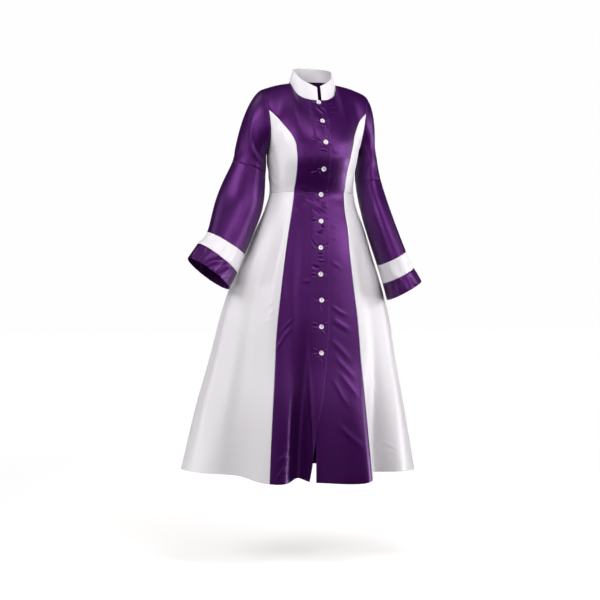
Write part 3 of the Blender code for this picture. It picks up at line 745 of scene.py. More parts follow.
# %% Lap, buttons and puckers
LAP_CLEAR = 0.0003
LAP_HANG = 0.003
LAP_RAMP = 0.014
LAP_EARLY = 0.25
HANG_SPEED = 2
LAST_BUTTON_V = 2.60
PACKED_WALL = 0.0016
# Buttons on the lap: u and v of each.
BUTTONS = [
    (-0.005, 0.055), (-0.010, 0.475), (0.002, 0.915), (0.004, 1.49), (-0.004, 2.01), (-0.012, 2.105),
    (-0.012, 2.1975), (-0.004, 2.29), (0.006, 2.38), (0.005, 2.4725), (0.007, 2.5625),
]
DIMPLE_WIDTH = 7.5
DIMPLE_DEPTH = -1.6
PUCKER_STRENGTH = 1.7
# Puckers of each button, in mm from its middle, with up and the side of the left sleeve as plus: start,
# middle and end of each crease, half width, height.
PUCKERS = [
    [(11, 2, 20, 3, 34, -1, 1.5, 0.8), (19, -3, 30, -3, 44, -7, 1.5, 0.9),
     (18, -9, 32, -15, 60, -14, 1.7, 1.0), (-66, 19, -56, 16, -47, 9, 1.8, 0.9),
     (-42, 15, -33, 14, -25, 9, 1.6, 0.8), (-23, 10, -16, 8, -10, 2, 1.5, 0.6),
     (-13, -14, -4, -28, 12, -46, 4.0, 1.3), (6, -20, 12, -30, 14, -44, 4.0, -0.9)],
    [(14, 2, 33, 8, 50, 20, 3.2, 1.2), (14, -1, 33, -5, 54, -14, 3.4, 1.3),
     (12, 0, 26, 1, 42, 3, 2.4, -0.9), (-44, 13, -38, 12, -31, 10, 1.8, 0.9),
     (-30, 7, -20, 4, -9, 0, 2.0, 0.9), (-19, 14, -14, 12, -8, 7, 1.6, 0.7),
     (-22, -4, -16, -6, -9, -10, 1.8, 0.7), (-7, -14, 0, -18, 7, -14, 1.8, 1.0),
     (-9, -21, 0, -24, 10, -20, 2.2, -1.0)],
    [(-40, 16, -28, 12, -13, 5, 2.0, 1.0), (-44, 3, -36, 6, -28, 8, 2.0, 0.8),
     (-24, 3, -16, 2, -10, 1, 1.6, -0.7), (-18, -25, -4, -21, 12, -30, 2.2, 1.1),
     (-12, -15, -4, -17, 2, -14, 2.0, -1.1), (10, -2, 27, -8, 46, -9, 3.4, 1.0),
     (8, 8, 14, 16, 16, 24, 2.4, -0.8)],
    [(9, 3, 25, 12, 38, 20, 2.0, 1.4), (36, 20, 48, 22, 62, 21, 2.6, 1.0),
     (12, 0, 26, 4, 40, 6, 2.4, -1.1), (-15, -6, -13, -14, -6, -21, 2.0, 1.2),
     (-43, -19, -26, -12, -11, -5, 3.4, 1.2), (-4, -22, 4, -22, 10, -18, 2.0, -0.8),
     (-22, 5, -14, 5, -9, 3, 1.6, -0.7)],
    [(12, 6, 30, 14, 55, 31, 2.4, 1.6), (13, 4, 28, 6, 44, 7, 2.4, -1.4),
     (-50, 13, -32, 12, -14, 7, 2.4, -1.2), (-44, 20, -30, 18, -20, 12, 2.4, 0.8),
     (-16, -4, -13, -18, 2, -22, 2.6, 1.3), (-58, -12, -28, -26, -6, -40, 4.5, 0.6),
     (-14, -34, 0, -44, 22, -60, 3.6, 0.8), (4, -35, 12, -40, 20, -37, 2.2, 1.0),
     (-2, -28, 8, -30, 16, -26, 2.6, -1.3), (24, -26, 34, -30, 42, -40, 3.6, 0.6),
     (-30, -40, -14, -52, 4, -66, 4.5, -0.7)],
    [(-2, -9, 10, -11, 15, -22, 2.0, 1.3), (-5, -26, 4, -29, 14, -24, 2.0, 1.3),
     (-1, -15, 3, -18, 6, -20, 2.4, -1.4), (-32, -4, -22, 0, -11, 1, 2.2, -1.1),
     (-30, 6, -20, 7, -10, 6, 2.0, 0.7), (10, 4, 20, 8, 28, 7, 2.0, -0.8),
     (-16, -34, -6, -38, 8, -40, 3.4, -1.0)],
    [(-30, 24, -22, 12, -11, 1, 2.4, -1.4), (-34, 12, -26, 4, -18, -4, 2.4, 0.9),
     (-8, -14, 1, -16, 10, -13, 1.8, 1.2), (-8, -19, 0, -22, 8, -19, 1.8, -1.2),
     (-8, -26, 0, -28, 7, -24, 1.8, 1.2), (-6, -32, 1, -34, 8, -30, 1.8, -1.1),
     (-6, -39, 5, -41, 16, -38, 2.0, 1.0), (10, 4, 18, 9, 26, 16, 2.4, -0.9)],
    [(-32, -2, -22, 1, -11, 5, 1.8, 1.0), (-26, -8, -18, -6, -10, -5, 1.8, -0.9),
     (-30, 24, -16, 20, -2, 18, 5.0, -1.0), (9, -4, 16, -8, 24, -10, 2.0, 0.7),
     (-58, -18, -42, -26, -26, -24, 7.0, 0.5), (10, 3, 17, 6, 25, 5, 1.8, -0.7)],
    [(-26, 8, -20, 2, -11, -1, 1.8, -0.9), (-25, -8, -17, -6, -9, -5, 1.6, 0.7),
     (-2, -12, 2, -20, 3, -30, 2.2, -0.8), (9, 2, 16, 4, 23, 2, 1.8, -0.7)],
    [(-28, 12, -20, 12, -10, 6, 1.8, 0.8), (-27, 2, -19, 1, -10, 0, 1.8, -0.9),
     (2, -11, 6, -16, 12, -24, 2.2, 0.8), (9, 8, 15, 12, 22, 12, 1.8, 0.7)],
    [(-26, 14, -18, 10, -9, 5, 1.8, 0.7), (-27, 0, -18, 0, -10, 0, 1.8, -0.9),
     (-20, -16, -12, -14, -5, -10, 1.8, 0.7), (8, 8, 14, 10, 20, 8, 1.8, 0.6),
     (0, -12, 3, -18, 4, -26, 2.0, -0.7)],
]


def lap_lift(u, v):
    """How far the right front stands off where it lies on the left front."""
    to_edge = (u - opening_edge(v, 2)) * metres_per_u(u, v)
    over = ease(1 + to_edge / LAP_RAMP + LAP_EARLY)
    hang = LAP_HANG * ease((v - LAST_BUTTON_V) / (3 - LAST_BUTTON_V) * HANG_SPEED)
    return (PACKED_WALL + LAP_CLEAR + hang) * over


def metres_per_v(u, v):
    return np.linalg.norm(body_point(u, v + STEP) - body_point(u, v - STEP), axis=-1) / (2 * STEP)


def pucker_height(form):
    """Creases round each button, and the dimple that it makes."""
    height = np.zeros(form.shape[:-1])
    for (u, v), rows in zip(BUTTONS, PUCKERS):
        wide = metres_per_u(np.array(u), np.array(v))
        long = metres_per_v(u, max(v, 2 * STEP))
        star = crease_height(form, rows, lambda a, b: body_point(u + a * MM / wide, v - b * MM / long))
        height = height + PUCKER_STRENGTH * star
        away = np.linalg.norm(form - body_point(u, v), axis=-1)
        height = height + DIMPLE_DEPTH * MM * np.exp(-((away / (DIMPLE_WIDTH * MM)) ** 2))
    return height


# %% Creases of the fronts
# u and v of the start, middle and end, half width mm, height mm.
RIGHT_FRONT_CREASES = [
    (-0.30, 0.00, -0.26, 0.10, -0.20, 0.16, 3.0, 0.9),
    (-0.17, 0.20, -0.14, 0.26, -0.09, 0.30, 3.0, 0.8),
    (-0.20, 2.470, -0.26, 2.500, -0.30, 2.560, 5.0, 1.6),
    (-0.19, 2.440, -0.24, 2.455, -0.29, 2.500, 4.0, 1.1),
    (-0.16, 2.880, -0.20, 2.915, -0.24, 2.930, 5.0, 1.4),
    (-0.17, 2.935, -0.20, 2.955, -0.235, 2.985, 4.0, 1.3),
    (-0.33, 1.85, -0.25, 1.95, -0.16, 1.93, 7.0, 0.9),
    (-0.36, 2.06, -0.28, 2.07, -0.20, 2.04, 7.0, 0.9),
    (-0.34, 2.02, -0.19, 2.40, -0.12, 2.98, 26.0, -5.5),
    (-0.36, 2.25, -0.31, 2.50, -0.26, 2.98, 20.0, 1.5),
    (-0.34, 2.30, -0.29, 2.34, -0.25, 2.42, 8.0, 0.8),
]
LEFT_FRONT_CREASES = [
    (0.095, 0.060, 0.16, 0.105, 0.25, 0.150, 2.6, 1.5),
    (0.12, 0.16, 0.20, 0.215, 0.30, 0.26, 2.6, 1.3),
    (0.10, 0.25, 0.17, 0.31, 0.24, 0.36, 3.0, 0.9),
    (0.10, 1.06, 0.16, 1.10, 0.26, 1.12, 5.0, 1.0),
    (0.105, 1.84, 0.16, 1.80, 0.22, 1.72, 4.0, 1.3),
    (0.10, 2.115, 0.15, 2.118, 0.20, 2.124, 3.0, 1.4),
    (0.10, 2.16, 0.15, 2.165, 0.19, 2.16, 3.4, 0.9),
    (0.09, 2.245, 0.15, 2.25, 0.20, 2.27, 5.0, 0.9),
    (0.08, 2.395, 0.15, 2.42, 0.22, 2.43, 5.0, 1.1),
    (0.08, 2.445, 0.15, 2.455, 0.24, 2.49, 8.0, 1.1),
    (0.07, 2.515, 0.14, 2.535, 0.24, 2.60, 8.0, 0.9),
    (0.09, 2.565, 0.16, 2.60, 0.26, 2.66, 8.0, 0.8),
    (0.12, 2.62, 0.19, 2.66, 0.27, 2.74, 8.0, 0.9),
    (0.08, 2.64, 0.12, 2.69, 0.20, 2.76, 8.0, 0.9),
    (0.10, 2.80, 0.17, 2.83, 0.25, 2.90, 9.0, 1.3),
]


def lapped(u, v, form):
    return lap_lift(u, v) + pucker_height(form)


front_right = body_sheet(
    "front_right_cloth", lambda v: front_seam(v, -1, -SEAM_HALF), lambda v: opening_edge(v, 1), 0.0, 3.0,
    ("left", "top"), RIGHT_FRONT_CREASES, lapped, fine=(0, 2.66), columns=82)
body_sheet(
    "front_left_cloth", lambda v: opening_edge(v, 2), lambda v: front_seam(v, 1, -SEAM_HALF), 0.0, 3.0,
    ("right", "top"), LEFT_FRONT_CREASES, fine=(0, 0.5), columns=56)

# %% [markdown]
# The back isn't in the photograph, so it is finished as such a robe is: one plain panel between two
# princess seams. A few soft troughs fall from the waist, and light drag lines run from the armholes.

# %% Back panel
BACK_CREASES = [
    (1.86, 2.02, 1.90, 2.30, 1.93, 2.95, 16.0, -4.0),
    (2.13, 2.03, 2.10, 2.35, 2.08, 2.90, 18.0, -4.5),
    (2.26, 2.10, 2.24, 2.40, 2.22, 2.98, 15.0, 3.5),
    (1.72, 2.12, 1.76, 2.45, 1.78, 2.97, 15.0, 3.0),
    (2.00, 2.20, 2.00, 2.50, 1.99, 2.97, 20.0, 3.0),
    (1.38, 0.55, 1.52, 0.62, 1.70, 0.60, 7.0, 2.0),
    (2.62, 0.52, 2.48, 0.60, 2.32, 0.57, 7.0, 1.8),
    (1.44, 0.75, 1.60, 0.84, 1.76, 0.82, 6.0, 1.4),
    (2.55, 0.72, 2.42, 0.82, 2.26, 0.80, 6.0, 1.5),
    (1.68, 1.78, 1.85, 1.86, 2.02, 1.80, 6.0, 1.8),
    (2.30, 1.88, 2.15, 1.95, 1.98, 1.92, 6.0, 1.7),
    (1.75, 2.03, 1.90, 2.06, 2.10, 2.04, 7.0, 1.5),
]
body_sheet(
    "back_centre_cloth", lambda v: back_seam(v, 1, -SEAM_HALF), lambda v: 4 + back_seam(v, -1, -SEAM_HALF),
    0.0, 3.0, ("left", "right", "top"), BACK_CREASES)

# %% [markdown]
# The side panels are white: a curved wedge from the armhole to the waist, and a flared skirt panel below
# the waist seam. Four of each go round the robe, so one loop makes them all from the seams that they lie
# between.

# %% Side panels
WEDGE_TOP = TIP_V + 0.008
# Where the bodice ends above the waist seam and the skirt starts below it, as v.
BODICE_END = 2.0 - 0.0009
SKIRT_START = 2.0 + 0.00014
# Creases by the part of the robe and its side, front or back.
SIDE_CREASES = {
    ("bodice", -1, -1): [
        (-0.62, 0.70, -0.56, 0.85, -0.48, 1.05, 10.0, 1.6),
        (-0.85, 0.95, -0.78, 1.20, -0.72, 1.60, 12.0, -1.8),
        (-0.98, 1.62, -0.85, 1.75, -0.66, 1.86, 7.0, 1.4),
        (-0.50, 1.93, -0.62, 1.97, -0.80, 1.93, 5.0, -1.0),
    ],
    ("bodice", 1, -1): [
        (0.62, 0.72, 0.58, 0.90, 0.52, 1.10, 10.0, 1.4),
        (0.90, 1.55, 0.75, 1.70, 0.55, 1.80, 7.0, 1.2),
    ],
    ("bodice", -1, 1): [
        (-1.10, 1.10, -1.25, 1.40, -1.45, 1.62, 8.0, 1.6),
        (-1.08, 1.50, -1.28, 1.74, -1.50, 1.84, 7.0, 1.3),
    ],
    ("bodice", 1, 1): [
        (1.10, 1.15, 1.26, 1.45, 1.46, 1.64, 8.0, 1.5),
        (1.10, 1.55, 1.30, 1.76, 1.52, 1.88, 7.0, 1.2),
    ],
    ("skirt", -1, -1): [
        (-0.33, 2.375, -0.38, 2.39, -0.44, 2.43, 4.5, 1.7),
        (-0.32, 2.405, -0.36, 2.42, -0.40, 2.46, 4.0, 1.4),
        (-0.31, 2.435, -0.36, 2.46, -0.45, 2.47, 6.0, 1.1),
        (-0.90, 2.745, -0.85, 2.755, -0.79, 2.80, 5.0, 1.6),
        (-0.87, 2.785, -0.82, 2.79, -0.78, 2.82, 4.0, 1.2),
        (-0.58, 2.02, -0.54, 2.40, -0.50, 3.20, 30.0, -9.0),
        (-0.82, 2.05, -0.80, 2.40, -0.80, 3.10, 30.0, 6.0),
        (-0.42, 2.02, -0.38, 2.25, -0.34, 2.80, 16.0, 4.0),
    ],
    ("skirt", 1, -1): [
        (0.46, 2.895, 0.50, 2.90, 0.56, 2.93, 4.5, 1.8),
        (0.48, 2.925, 0.52, 2.93, 0.56, 2.95, 4.0, 1.4),
        (0.44, 2.05, 0.43, 2.45, 0.42, 3.10, 22.0, -4.0),
        (0.58, 2.10, 0.60, 2.45, 0.64, 3.10, 26.0, 5.0),
        (0.80, 2.08, 0.80, 2.40, 0.83, 3.10, 24.0, -4.5),
        (0.36, 2.62, 0.40, 2.68, 0.46, 2.74, 7.0, 1.2),
    ],
    ("skirt", -1, 1): [
        (-1.15, 2.05, -1.14, 2.40, -1.12, 2.95, 20.0, 3.5),
        (-1.50, 2.05, -1.52, 2.40, -1.52, 2.95, 20.0, 3.5),
        (-1.30, 2.30, -1.34, 2.34, -1.40, 2.40, 6.0, 1.4),
        (-1.20, 2.80, -1.25, 2.82, -1.31, 2.87, 6.0, 1.4),
    ],
    ("skirt", 1, 1): [
        (1.14, 2.05, 1.13, 2.40, 1.10, 2.95, 20.0, 3.5),
        (1.50, 2.05, 1.52, 2.40, 1.52, 2.95, 20.0, 3.5),
        (1.32, 2.34, 1.37, 2.37, 1.42, 2.43, 6.0, 1.4),
        (1.58, 2.70, 1.63, 2.73, 1.68, 2.79, 6.0, 1.5),
    ],
}
SIDE_ROWS = {"bodice": (WEDGE_TOP, BODICE_END), "skirt": (SKIRT_START, 3.0)}
SIDE_SEWN = {"bodice": ("left", "right", "bottom"), "skirt": ("left", "right", "top")}


def side_sheet(part, side, face):
    """White panel between a princess seam and the side seam."""
    seam = front_seam if face < 0 else back_seam
    inner = lambda v: seam(v, side, SEAM_HALF)
    outer = lambda v: side_seam(v, side, face * SEAM_HALF)
    low, high = (inner, outer) if side * face < 0 else (outer, inner)
    place = "front" if face < 0 else "back"
    tag = "r" if side < 0 else "l"
    return body_sheet(
        f"side_{place}_{part}_{tag}_cloth", low, high, *SIDE_ROWS[part], SIDE_SEWN[part],
        SIDE_CREASES[part, side, face])


for part in ("bodice", "skirt"):
    for side in (-1, 1):
        for face in (-1, 1):
            side_sheet(part, side, face)

# %% [markdown]
# The sleeves are tubes in four pieces: an upper sleeve set into the armhole, a flared lower sleeve, a white
# band and a cuff. A tube is a grid too. Its first and last columns are merged where the real one has its
# seam, under the arm.

# %% Sleeve tubes
SLEEVE_COLUMNS = 88
SLEEVE_GUIDE = 60
LEAST_ROWS = 6
ARMHOLE_TRIM = 0.0003
TRIM_STEP = 0.01


def long_folds(rows, start, middle, end):
    """Creases that all run from start over middle to end. A row has three shares, half width and height."""
    return [(a, start, b, middle, c, end, half, rise) for a, b, c, half, rise in rows]


# share and w of the start, middle and end, half width mm, height mm.
SLEEVE_CREASES_R = [
    (0.40, -0.75, 0.27, 0.05, 0.085, 0.93, 6.0, 2.6),
    (0.33, -0.50, 0.19, 0.10, 0.035, 0.86, 9.0, -2.0),
    (0.46, -0.55, 0.36, 0.00, 0.22, 0.70, 12.0, -1.0),
    (0.10, 0.72, 0.12, 0.86, 0.16, 0.97, 3.0, 1.2),
    (0.20, 0.80, 0.22, 0.90, 0.24, 0.97, 3.0, 0.9),
    (0.34, 0.80, 0.36, 0.90, 0.36, 0.97, 3.5, 0.9),
    (0.10, 1.03, 0.11, 1.15, 0.10, 1.35, 4.0, 1.1),
    (0.28, 1.03, 0.30, 1.12, 0.31, 1.30, 4.0, 0.8),
    (0.44, 1.03, 0.45, 1.16, 0.44, 1.40, 5.0, 0.8),
    (0.30, 1.30, 0.24, 1.95, 0.17, 2.80, 30.0, 2.0),
    (0.12, 1.20, 0.08, 1.90, 0.05, 2.85, 18.0, -1.6),
    (0.55, 1.05, 0.52, 2.00, 0.50, 2.95, 24.0, 1.8),
    (0.66, 1.10, 0.65, 2.00, 0.64, 2.95, 20.0, -2.4),
    (0.78, 1.05, 0.79, 1.90, 0.80, 2.95, 22.0, 2.2),
    (0.90, 1.15, 0.93, 1.90, 0.95, 2.90, 16.0, -1.8),
    (0.70, -0.80, 0.78, 0.00, 0.93, 0.80, 8.0, 2.0),
]
SLEEVE_CREASES_L = [
    (0.40, -0.75, 0.30, 0.05, 0.14, 0.90, 7.0, 1.8),
    (0.32, -0.50, 0.22, 0.10, 0.08, 0.86, 10.0, -1.4),
    (0.12, 0.76, 0.14, 0.88, 0.18, 0.97, 3.0, 1.0),
    (0.30, 0.80, 0.31, 0.90, 0.33, 0.97, 3.5, 0.9),
    (0.16, 1.03, 0.17, 1.12, 0.16, 1.32, 4.0, 1.0),
    (0.33, 1.03, 0.34, 1.14, 0.33, 1.35, 4.5, 0.8),
    (0.26, 1.30, 0.22, 1.95, 0.19, 2.80, 24.0, 1.8),
    (0.12, 1.20, 0.10, 1.90, 0.08, 2.85, 16.0, -1.4),
    (0.55, 1.05, 0.53, 2.00, 0.52, 2.95, 20.0, 1.8),
    (0.67, 1.10, 0.66, 2.00, 0.64, 2.95, 18.0, -2.0),
    (0.80, 1.05, 0.80, 1.90, 0.81, 2.95, 18.0, 2.0),
    (0.72, -0.80, 0.79, 0.00, 0.93, 0.80, 8.0, 1.8),
]
CUFF_FOLD_PLACES = (4.02, 4.45, 5.30)
BAND_FOLD_PLACES = (2.85, 3.50, 4.15)
# The long folds of the cuffs and of the bands: three shares, half width mm, height mm.
CUFF_CREASES_R = long_folds([
    (0.12, 0.15, 0.19, 5.0, 3.6),
    (0.17, 0.20, 0.22, 8.0, -6.0),
    (0.33, 0.35, 0.38, 8.0, -5.0),
    (0.40, 0.41, 0.42, 8.0, 3.6),
    (0.49, 0.50, 0.51, 8.0, -2.8),
    (0.57, 0.57, 0.58, 8.0, 2.8),
    (0.67, 0.67, 0.66, 9.0, -3.0),
    (0.77, 0.77, 0.78, 9.0, 3.0),
    (0.90, 0.91, 0.92, 8.0, -2.6),
], *CUFF_FOLD_PLACES) + [(0.22, 4.10, 0.26, 4.50, 0.30, 5.30, 8.0, 6.5)]
CUFF_CREASES_L = long_folds([
    (0.12, 0.13, 0.13, 7.0, -2.6),
    (0.21, 0.22, 0.22, 7.0, 3.2),
    (0.30, 0.31, 0.33, 7.0, -2.8),
    (0.41, 0.41, 0.42, 8.0, 2.8),
    (0.54, 0.54, 0.54, 9.0, -2.6),
    (0.68, 0.68, 0.67, 9.0, 2.8),
    (0.83, 0.83, 0.84, 8.0, -2.4),
], *CUFF_FOLD_PLACES)
BAND_CREASES = long_folds([
    (0.14, 0.15, 0.17, 8.0, 2.2),
    (0.22, 0.22, 0.22, 9.0, -2.2),
    (0.31, 0.31, 0.32, 9.0, 2.0),
    (0.44, 0.44, 0.45, 10.0, -1.8),
    (0.57, 0.57, 0.56, 9.0, 1.8),
    (0.80, 0.80, 0.80, 9.0, 2.0),
], *BAND_FOLD_PLACES)


def sleeve_rows(first, last, table):
    """Places along a sleeve, even in metres down its outer side and closer at both ends."""
    w = np.linspace(first, last, SLEEVE_GUIDE)
    line = sleeve_point(0.5, w, table)
    along = np.concatenate([[0.0], np.cumsum(np.linalg.norm(np.diff(line, axis=0), axis=-1))])
    rows = max(LEAST_ROWS, int(along[-1] / ROW_STEP))
    return np.interp(spread(along[-1], np.linspace(0, 1, rows)), along, w)


def sleeve_sheet(name, first, last, table, sewn, creases):
    w = sleeve_rows(first, last, table)
    share = np.linspace(0, 1, SLEEVE_COLUMNS + 1)
    if table[0, 0] < 0:
        share = share[::-1]
    share, w = np.meshgrid(share, w)
    for end, step in ((0, TRIM_STEP), (-1, -TRIM_STEP)):
        trim = ARMHOLE_TRIM if w[end, 0] < 0 else SEAM_HALF
        near = sleeve_point(share[end], w[end], table)
        far = sleeve_point(share[end], w[end] + step, table)
        w[end] += step * trim / np.linalg.norm(far - near, axis=-1)
    form = sleeve_point(share, w, table)
    height = crease_height(form, creases, lambda a, b: sleeve_point(a, b, table)) - seam_roll(form, sewn)
    return make_sheet(name, form + sleeve_normal(share, w, table) * height[..., None], tube=True)


for tag, table, folds, cuff_folds in (
    ("r", SLEEVE_R, SLEEVE_CREASES_R, CUFF_CREASES_R), ("l", SLEEVE_L, SLEEVE_CREASES_L, CUFF_CREASES_L),
):
    sleeve_sheet(f"upper_sleeve_{tag}_cloth", ARMHOLE, ELBOW, table, ("top", "bottom"), folds)
    sleeve_sheet(f"lower_sleeve_{tag}_cloth", ELBOW, BAND_TOP, table, ("top", "bottom"), folds)
    sleeve_sheet(f"sleeve_band_{tag}_cloth", BAND_TOP, BAND_END, table, ("top", "bottom"), BAND_CREASES)
    sleeve_sheet(f"sleeve_cuff_{tag}_cloth", BAND_END, CUFF_END, table, ("top",), cuff_folds)

# %% [markdown]
# The collar is one stiff band that stands on the neckline and is open at the front. It is made like the
# other sheets, with more thickness, because a real one is two layers with a stiffener between them, and its
# edges are bevelled round.

# %% Stand collar
COLLAR_WALL = 0.0024
COLLAR_TOP_HALF = 0.0615
COLLAR_TOP_DEEP = 0.0520
# Height of the top edge: angle from the front, z.
COLLAR_TOP_Z = np.array([(0, -0.021), (45, 0.003), (90, 0.037), (135, 0.050), (180, 0.055)])
COLLAR_RIGHT_END = -0.5
COLLAR_LEFT_END = 9.0
COLLAR_CLEAR = 0.0004
COLLAR_COLUMNS = 120
COLLAR_ROWS = 18
COLLAR_BOW = 0.0010
COLLAR_EDGE = 0.0008
COLLAR_EDGE_STEPS = 3
COLLAR_EDGE_ANGLE = math.radians(60)


def collar_points():
    """Outer face of the collar, from its left end round the back to its right end, top row first."""
    angle, height = np.meshgrid(
        np.linspace(COLLAR_LEFT_END, 360 + COLLAR_RIGHT_END, COLLAR_COLUMNS), np.linspace(1, 0, COLLAR_ROWS))
    spin = np.radians(angle)
    away = np.minimum(angle, 360 - angle)
    low = np.stack([
        NECK_HALF * np.sin(spin), -NECK_DEEP * np.cos(spin),
        smooth_at(away, NECK_Z[:, 0], NECK_Z[:, 1]) + COLLAR_CLEAR], -1)
    top = np.stack([
        COLLAR_TOP_HALF * np.sin(spin), -COLLAR_TOP_DEEP * np.cos(spin),
        smooth_at(away, COLLAR_TOP_Z[:, 0], COLLAR_TOP_Z[:, 1])], -1)
    out = np.stack([np.sin(spin), -np.cos(spin), 0 * spin], -1)
    bow = COLLAR_BOW * (1 - (2 * height - 1) ** 2)
    return low + (top - low) * height[..., None] + out * bow[..., None]


collar = make_sheet("collar_cloth", collar_points(), COLLAR_WALL)
make_active(collar)
edge = collar.modifiers.new("edge", "BEVEL")
edge.width = COLLAR_EDGE
edge.segments = COLLAR_EDGE_STEPS
edge.limit_method = "ANGLE"
edge.angle_limit = COLLAR_EDGE_ANGLE
bpy.ops.object.modifier_apply(modifier="edge")

# %% [markdown]
# The buttons are pearly discs with a rim, a dished face and four holes for the thread. One is turned and
# drilled, and the rest are copies, each seated on the cloth of the lap with its face outwards.

# %% One button
BUTTON_RADIUS = 0.0073
BUTTON_FOOT = 0.0018
BUTTON_THICK = 0.0040
BUTTON_RIM = 0.0013
BUTTON_DISH = 0.0011
HOLE_RADIUS = 0.00075
HOLE_APART = 0.0015
BUTTON_SIDES = 48
DRILL_SIDES = 16
BUTTON_LIP = 0.0003
DISH_SLOPE = 0.0006
DISH_FLOOR = 0.0001
BUTTON_ROUND = 0.0007
DRILL_LONG = 0.02
TOP_FACING = 0.9


def apply_place():
    """Write the place, turn and size of the selected object into its mesh."""
    bpy.ops.object.transform_apply(location=True, rotation=True, scale=True)


def cylinder(sides, radius, depth, middle=(0, 0, 0)):
    """New upright cylinder round its middle."""
    deselect_all()
    bpy.ops.mesh.primitive_cylinder_add(vertices=sides, radius=radius, depth=depth, location=middle)
    return bpy.context.object


button = cylinder(BUTTON_SIDES, BUTTON_RADIUS, BUTTON_THICK, (0, 0, BUTTON_FOOT + BUTTON_THICK / 2))
button.name = "button_pattern"
apply_place()
bpy.ops.object.mode_set(mode="EDIT")
shape = bmesh.from_edit_mesh(button.data)
for face in shape.faces:
    face.select = face.normal.z > TOP_FACING
bmesh.update_edit_mesh(button.data)
bpy.ops.mesh.inset(thickness=BUTTON_RIM, depth=BUTTON_LIP)
bpy.ops.mesh.inset(thickness=BUTTON_RIM, depth=-BUTTON_DISH)
bpy.ops.mesh.inset(thickness=DISH_SLOPE, depth=-DISH_FLOOR)
bpy.ops.object.mode_set(mode="OBJECT")
rounding = button.modifiers.new("rounding", "BEVEL")
rounding.width = BUTTON_ROUND
rounding.segments = 4
rounding.limit_method = "ANGLE"
rounding.angle_limit = math.radians(25)
bpy.ops.object.modifier_apply(modifier="rounding")
for quarter in range(4):
    spin = math.radians(45 + 90 * quarter)
    hole_middle = (HOLE_APART * math.cos(spin), HOLE_APART * math.sin(spin), 0)
    drill = cylinder(DRILL_SIDES, HOLE_RADIUS, DRILL_LONG, hole_middle)
    make_active(button)
    hole = button.modifiers.new("hole", "BOOLEAN")
    hole.operation = "DIFFERENCE"
    hole.object = drill
    hole.solver = "EXACT"
    bpy.ops.object.modifier_apply(modifier="hole")
    bpy.data.objects.remove(drill, do_unlink=True)
bpy.ops.object.shade_smooth_by_angle(angle=math.radians(35))
print("button faces", len(button.data.polygons))

# %% Thread of a button
THREAD_RADIUS = 0.00045
THREAD_SIDES = 8
THREAD_LIFT = 1.4
SHANK_SIDES = 12
SHANK_LONG = 0.0030
SHANK_RADIUS = 0.0016


def join_all(items, name):
    """Join objects into the first of them, and name it."""
    make_active(items[0])
    for item in items:
        item.select_set(True)
    bpy.ops.object.join()
    items[0].name = name
    return items[0]


def thread_bar(name, turn):
    """Bar of thread across the dish of a button, from one hole to the opposite one."""
    bar = cylinder(THREAD_SIDES, THREAD_RADIUS, 2 * HOLE_APART)
    bar.name = name
    bar.rotation_euler = (math.radians(90), 0, turn)
    bar.location = (0, 0, BUTTON_FOOT + BUTTON_THICK - BUTTON_DISH + THREAD_RADIUS * THREAD_LIFT)
    apply_place()
    return bar


bars = [thread_bar("thread_a", math.radians(45)), thread_bar("thread_b", math.radians(135))]
shank = cylinder(SHANK_SIDES, SHANK_RADIUS, SHANK_LONG, (0, 0, SHANK_LONG / 2))
apply_place()
thread = join_all([shank, *bars], "thread_pattern")
bpy.ops.object.shade_smooth_by_angle(angle=math.radians(60))
print("thread faces", len(thread.data.polygons))

# %% Seat the buttons
SEAT_REACH = 0.03
THREAD_TURNS = [8, -12, 20, 3, -25, 14, 30, -6, 17, -18, 5]
bpy.context.view_layer.update()
button_pieces = []
thread_copies = []
for number, (u, v) in enumerate(BUTTONS, 1):
    away = Vector(body_normal(u, v))
    start = Vector(body_point(u, v)) + away * SEAT_REACH
    found, seat = front_right.ray_cast(start, -away)[:2]
    if not found:
        raise ValueError(f"button {number} has no cloth under it")
    stand = Matrix.Translation(seat) @ away.to_track_quat("Z", "Y").to_matrix().to_4x4()
    stand = stand @ Matrix.Rotation(math.radians(THREAD_TURNS[number - 1]), 4, "Z")
    for pattern, kept, name in (
        (button, button_pieces, f"button_{number:02d}_pearl"), (thread, thread_copies, "thread"),
    ):
        copy = bpy.data.objects.new(name, pattern.data.copy())
        copy.data.transform(stand)
        add_to_scene(copy)
        kept.append(copy)
button_thread = join_all(thread_copies, "button_thread")
bpy.data.objects.remove(button, do_unlink=True)
bpy.data.objects.remove(thread, do_unlink=True)
print("buttons", len(button_pieces))

# %% [markdown]
# Stitches. The lap edge is held flat by a row of machine stitches, and each button has a worked buttonhole
# under it. A stitch is a tiny pill, modelled once and copied along a line on the cloth.

# %% Rows of stitches
STITCH_LENGTH = 0.0024
STITCH_STEP = 0.0034
STITCH_THICK = 0.00022
STITCH_AHEAD = 0.001
LAP_STITCH_IN = 0.0032
LAP_STITCH_TOP = 0.01
LAP_STITCH_END = 2.995
LAP_PLACES = 420


def values_at(place, along, rows):
    """Three columns of rows at a place in metres along a line."""
    return np.array([np.interp(place, along, rows[:, k]) for k in range(3)])


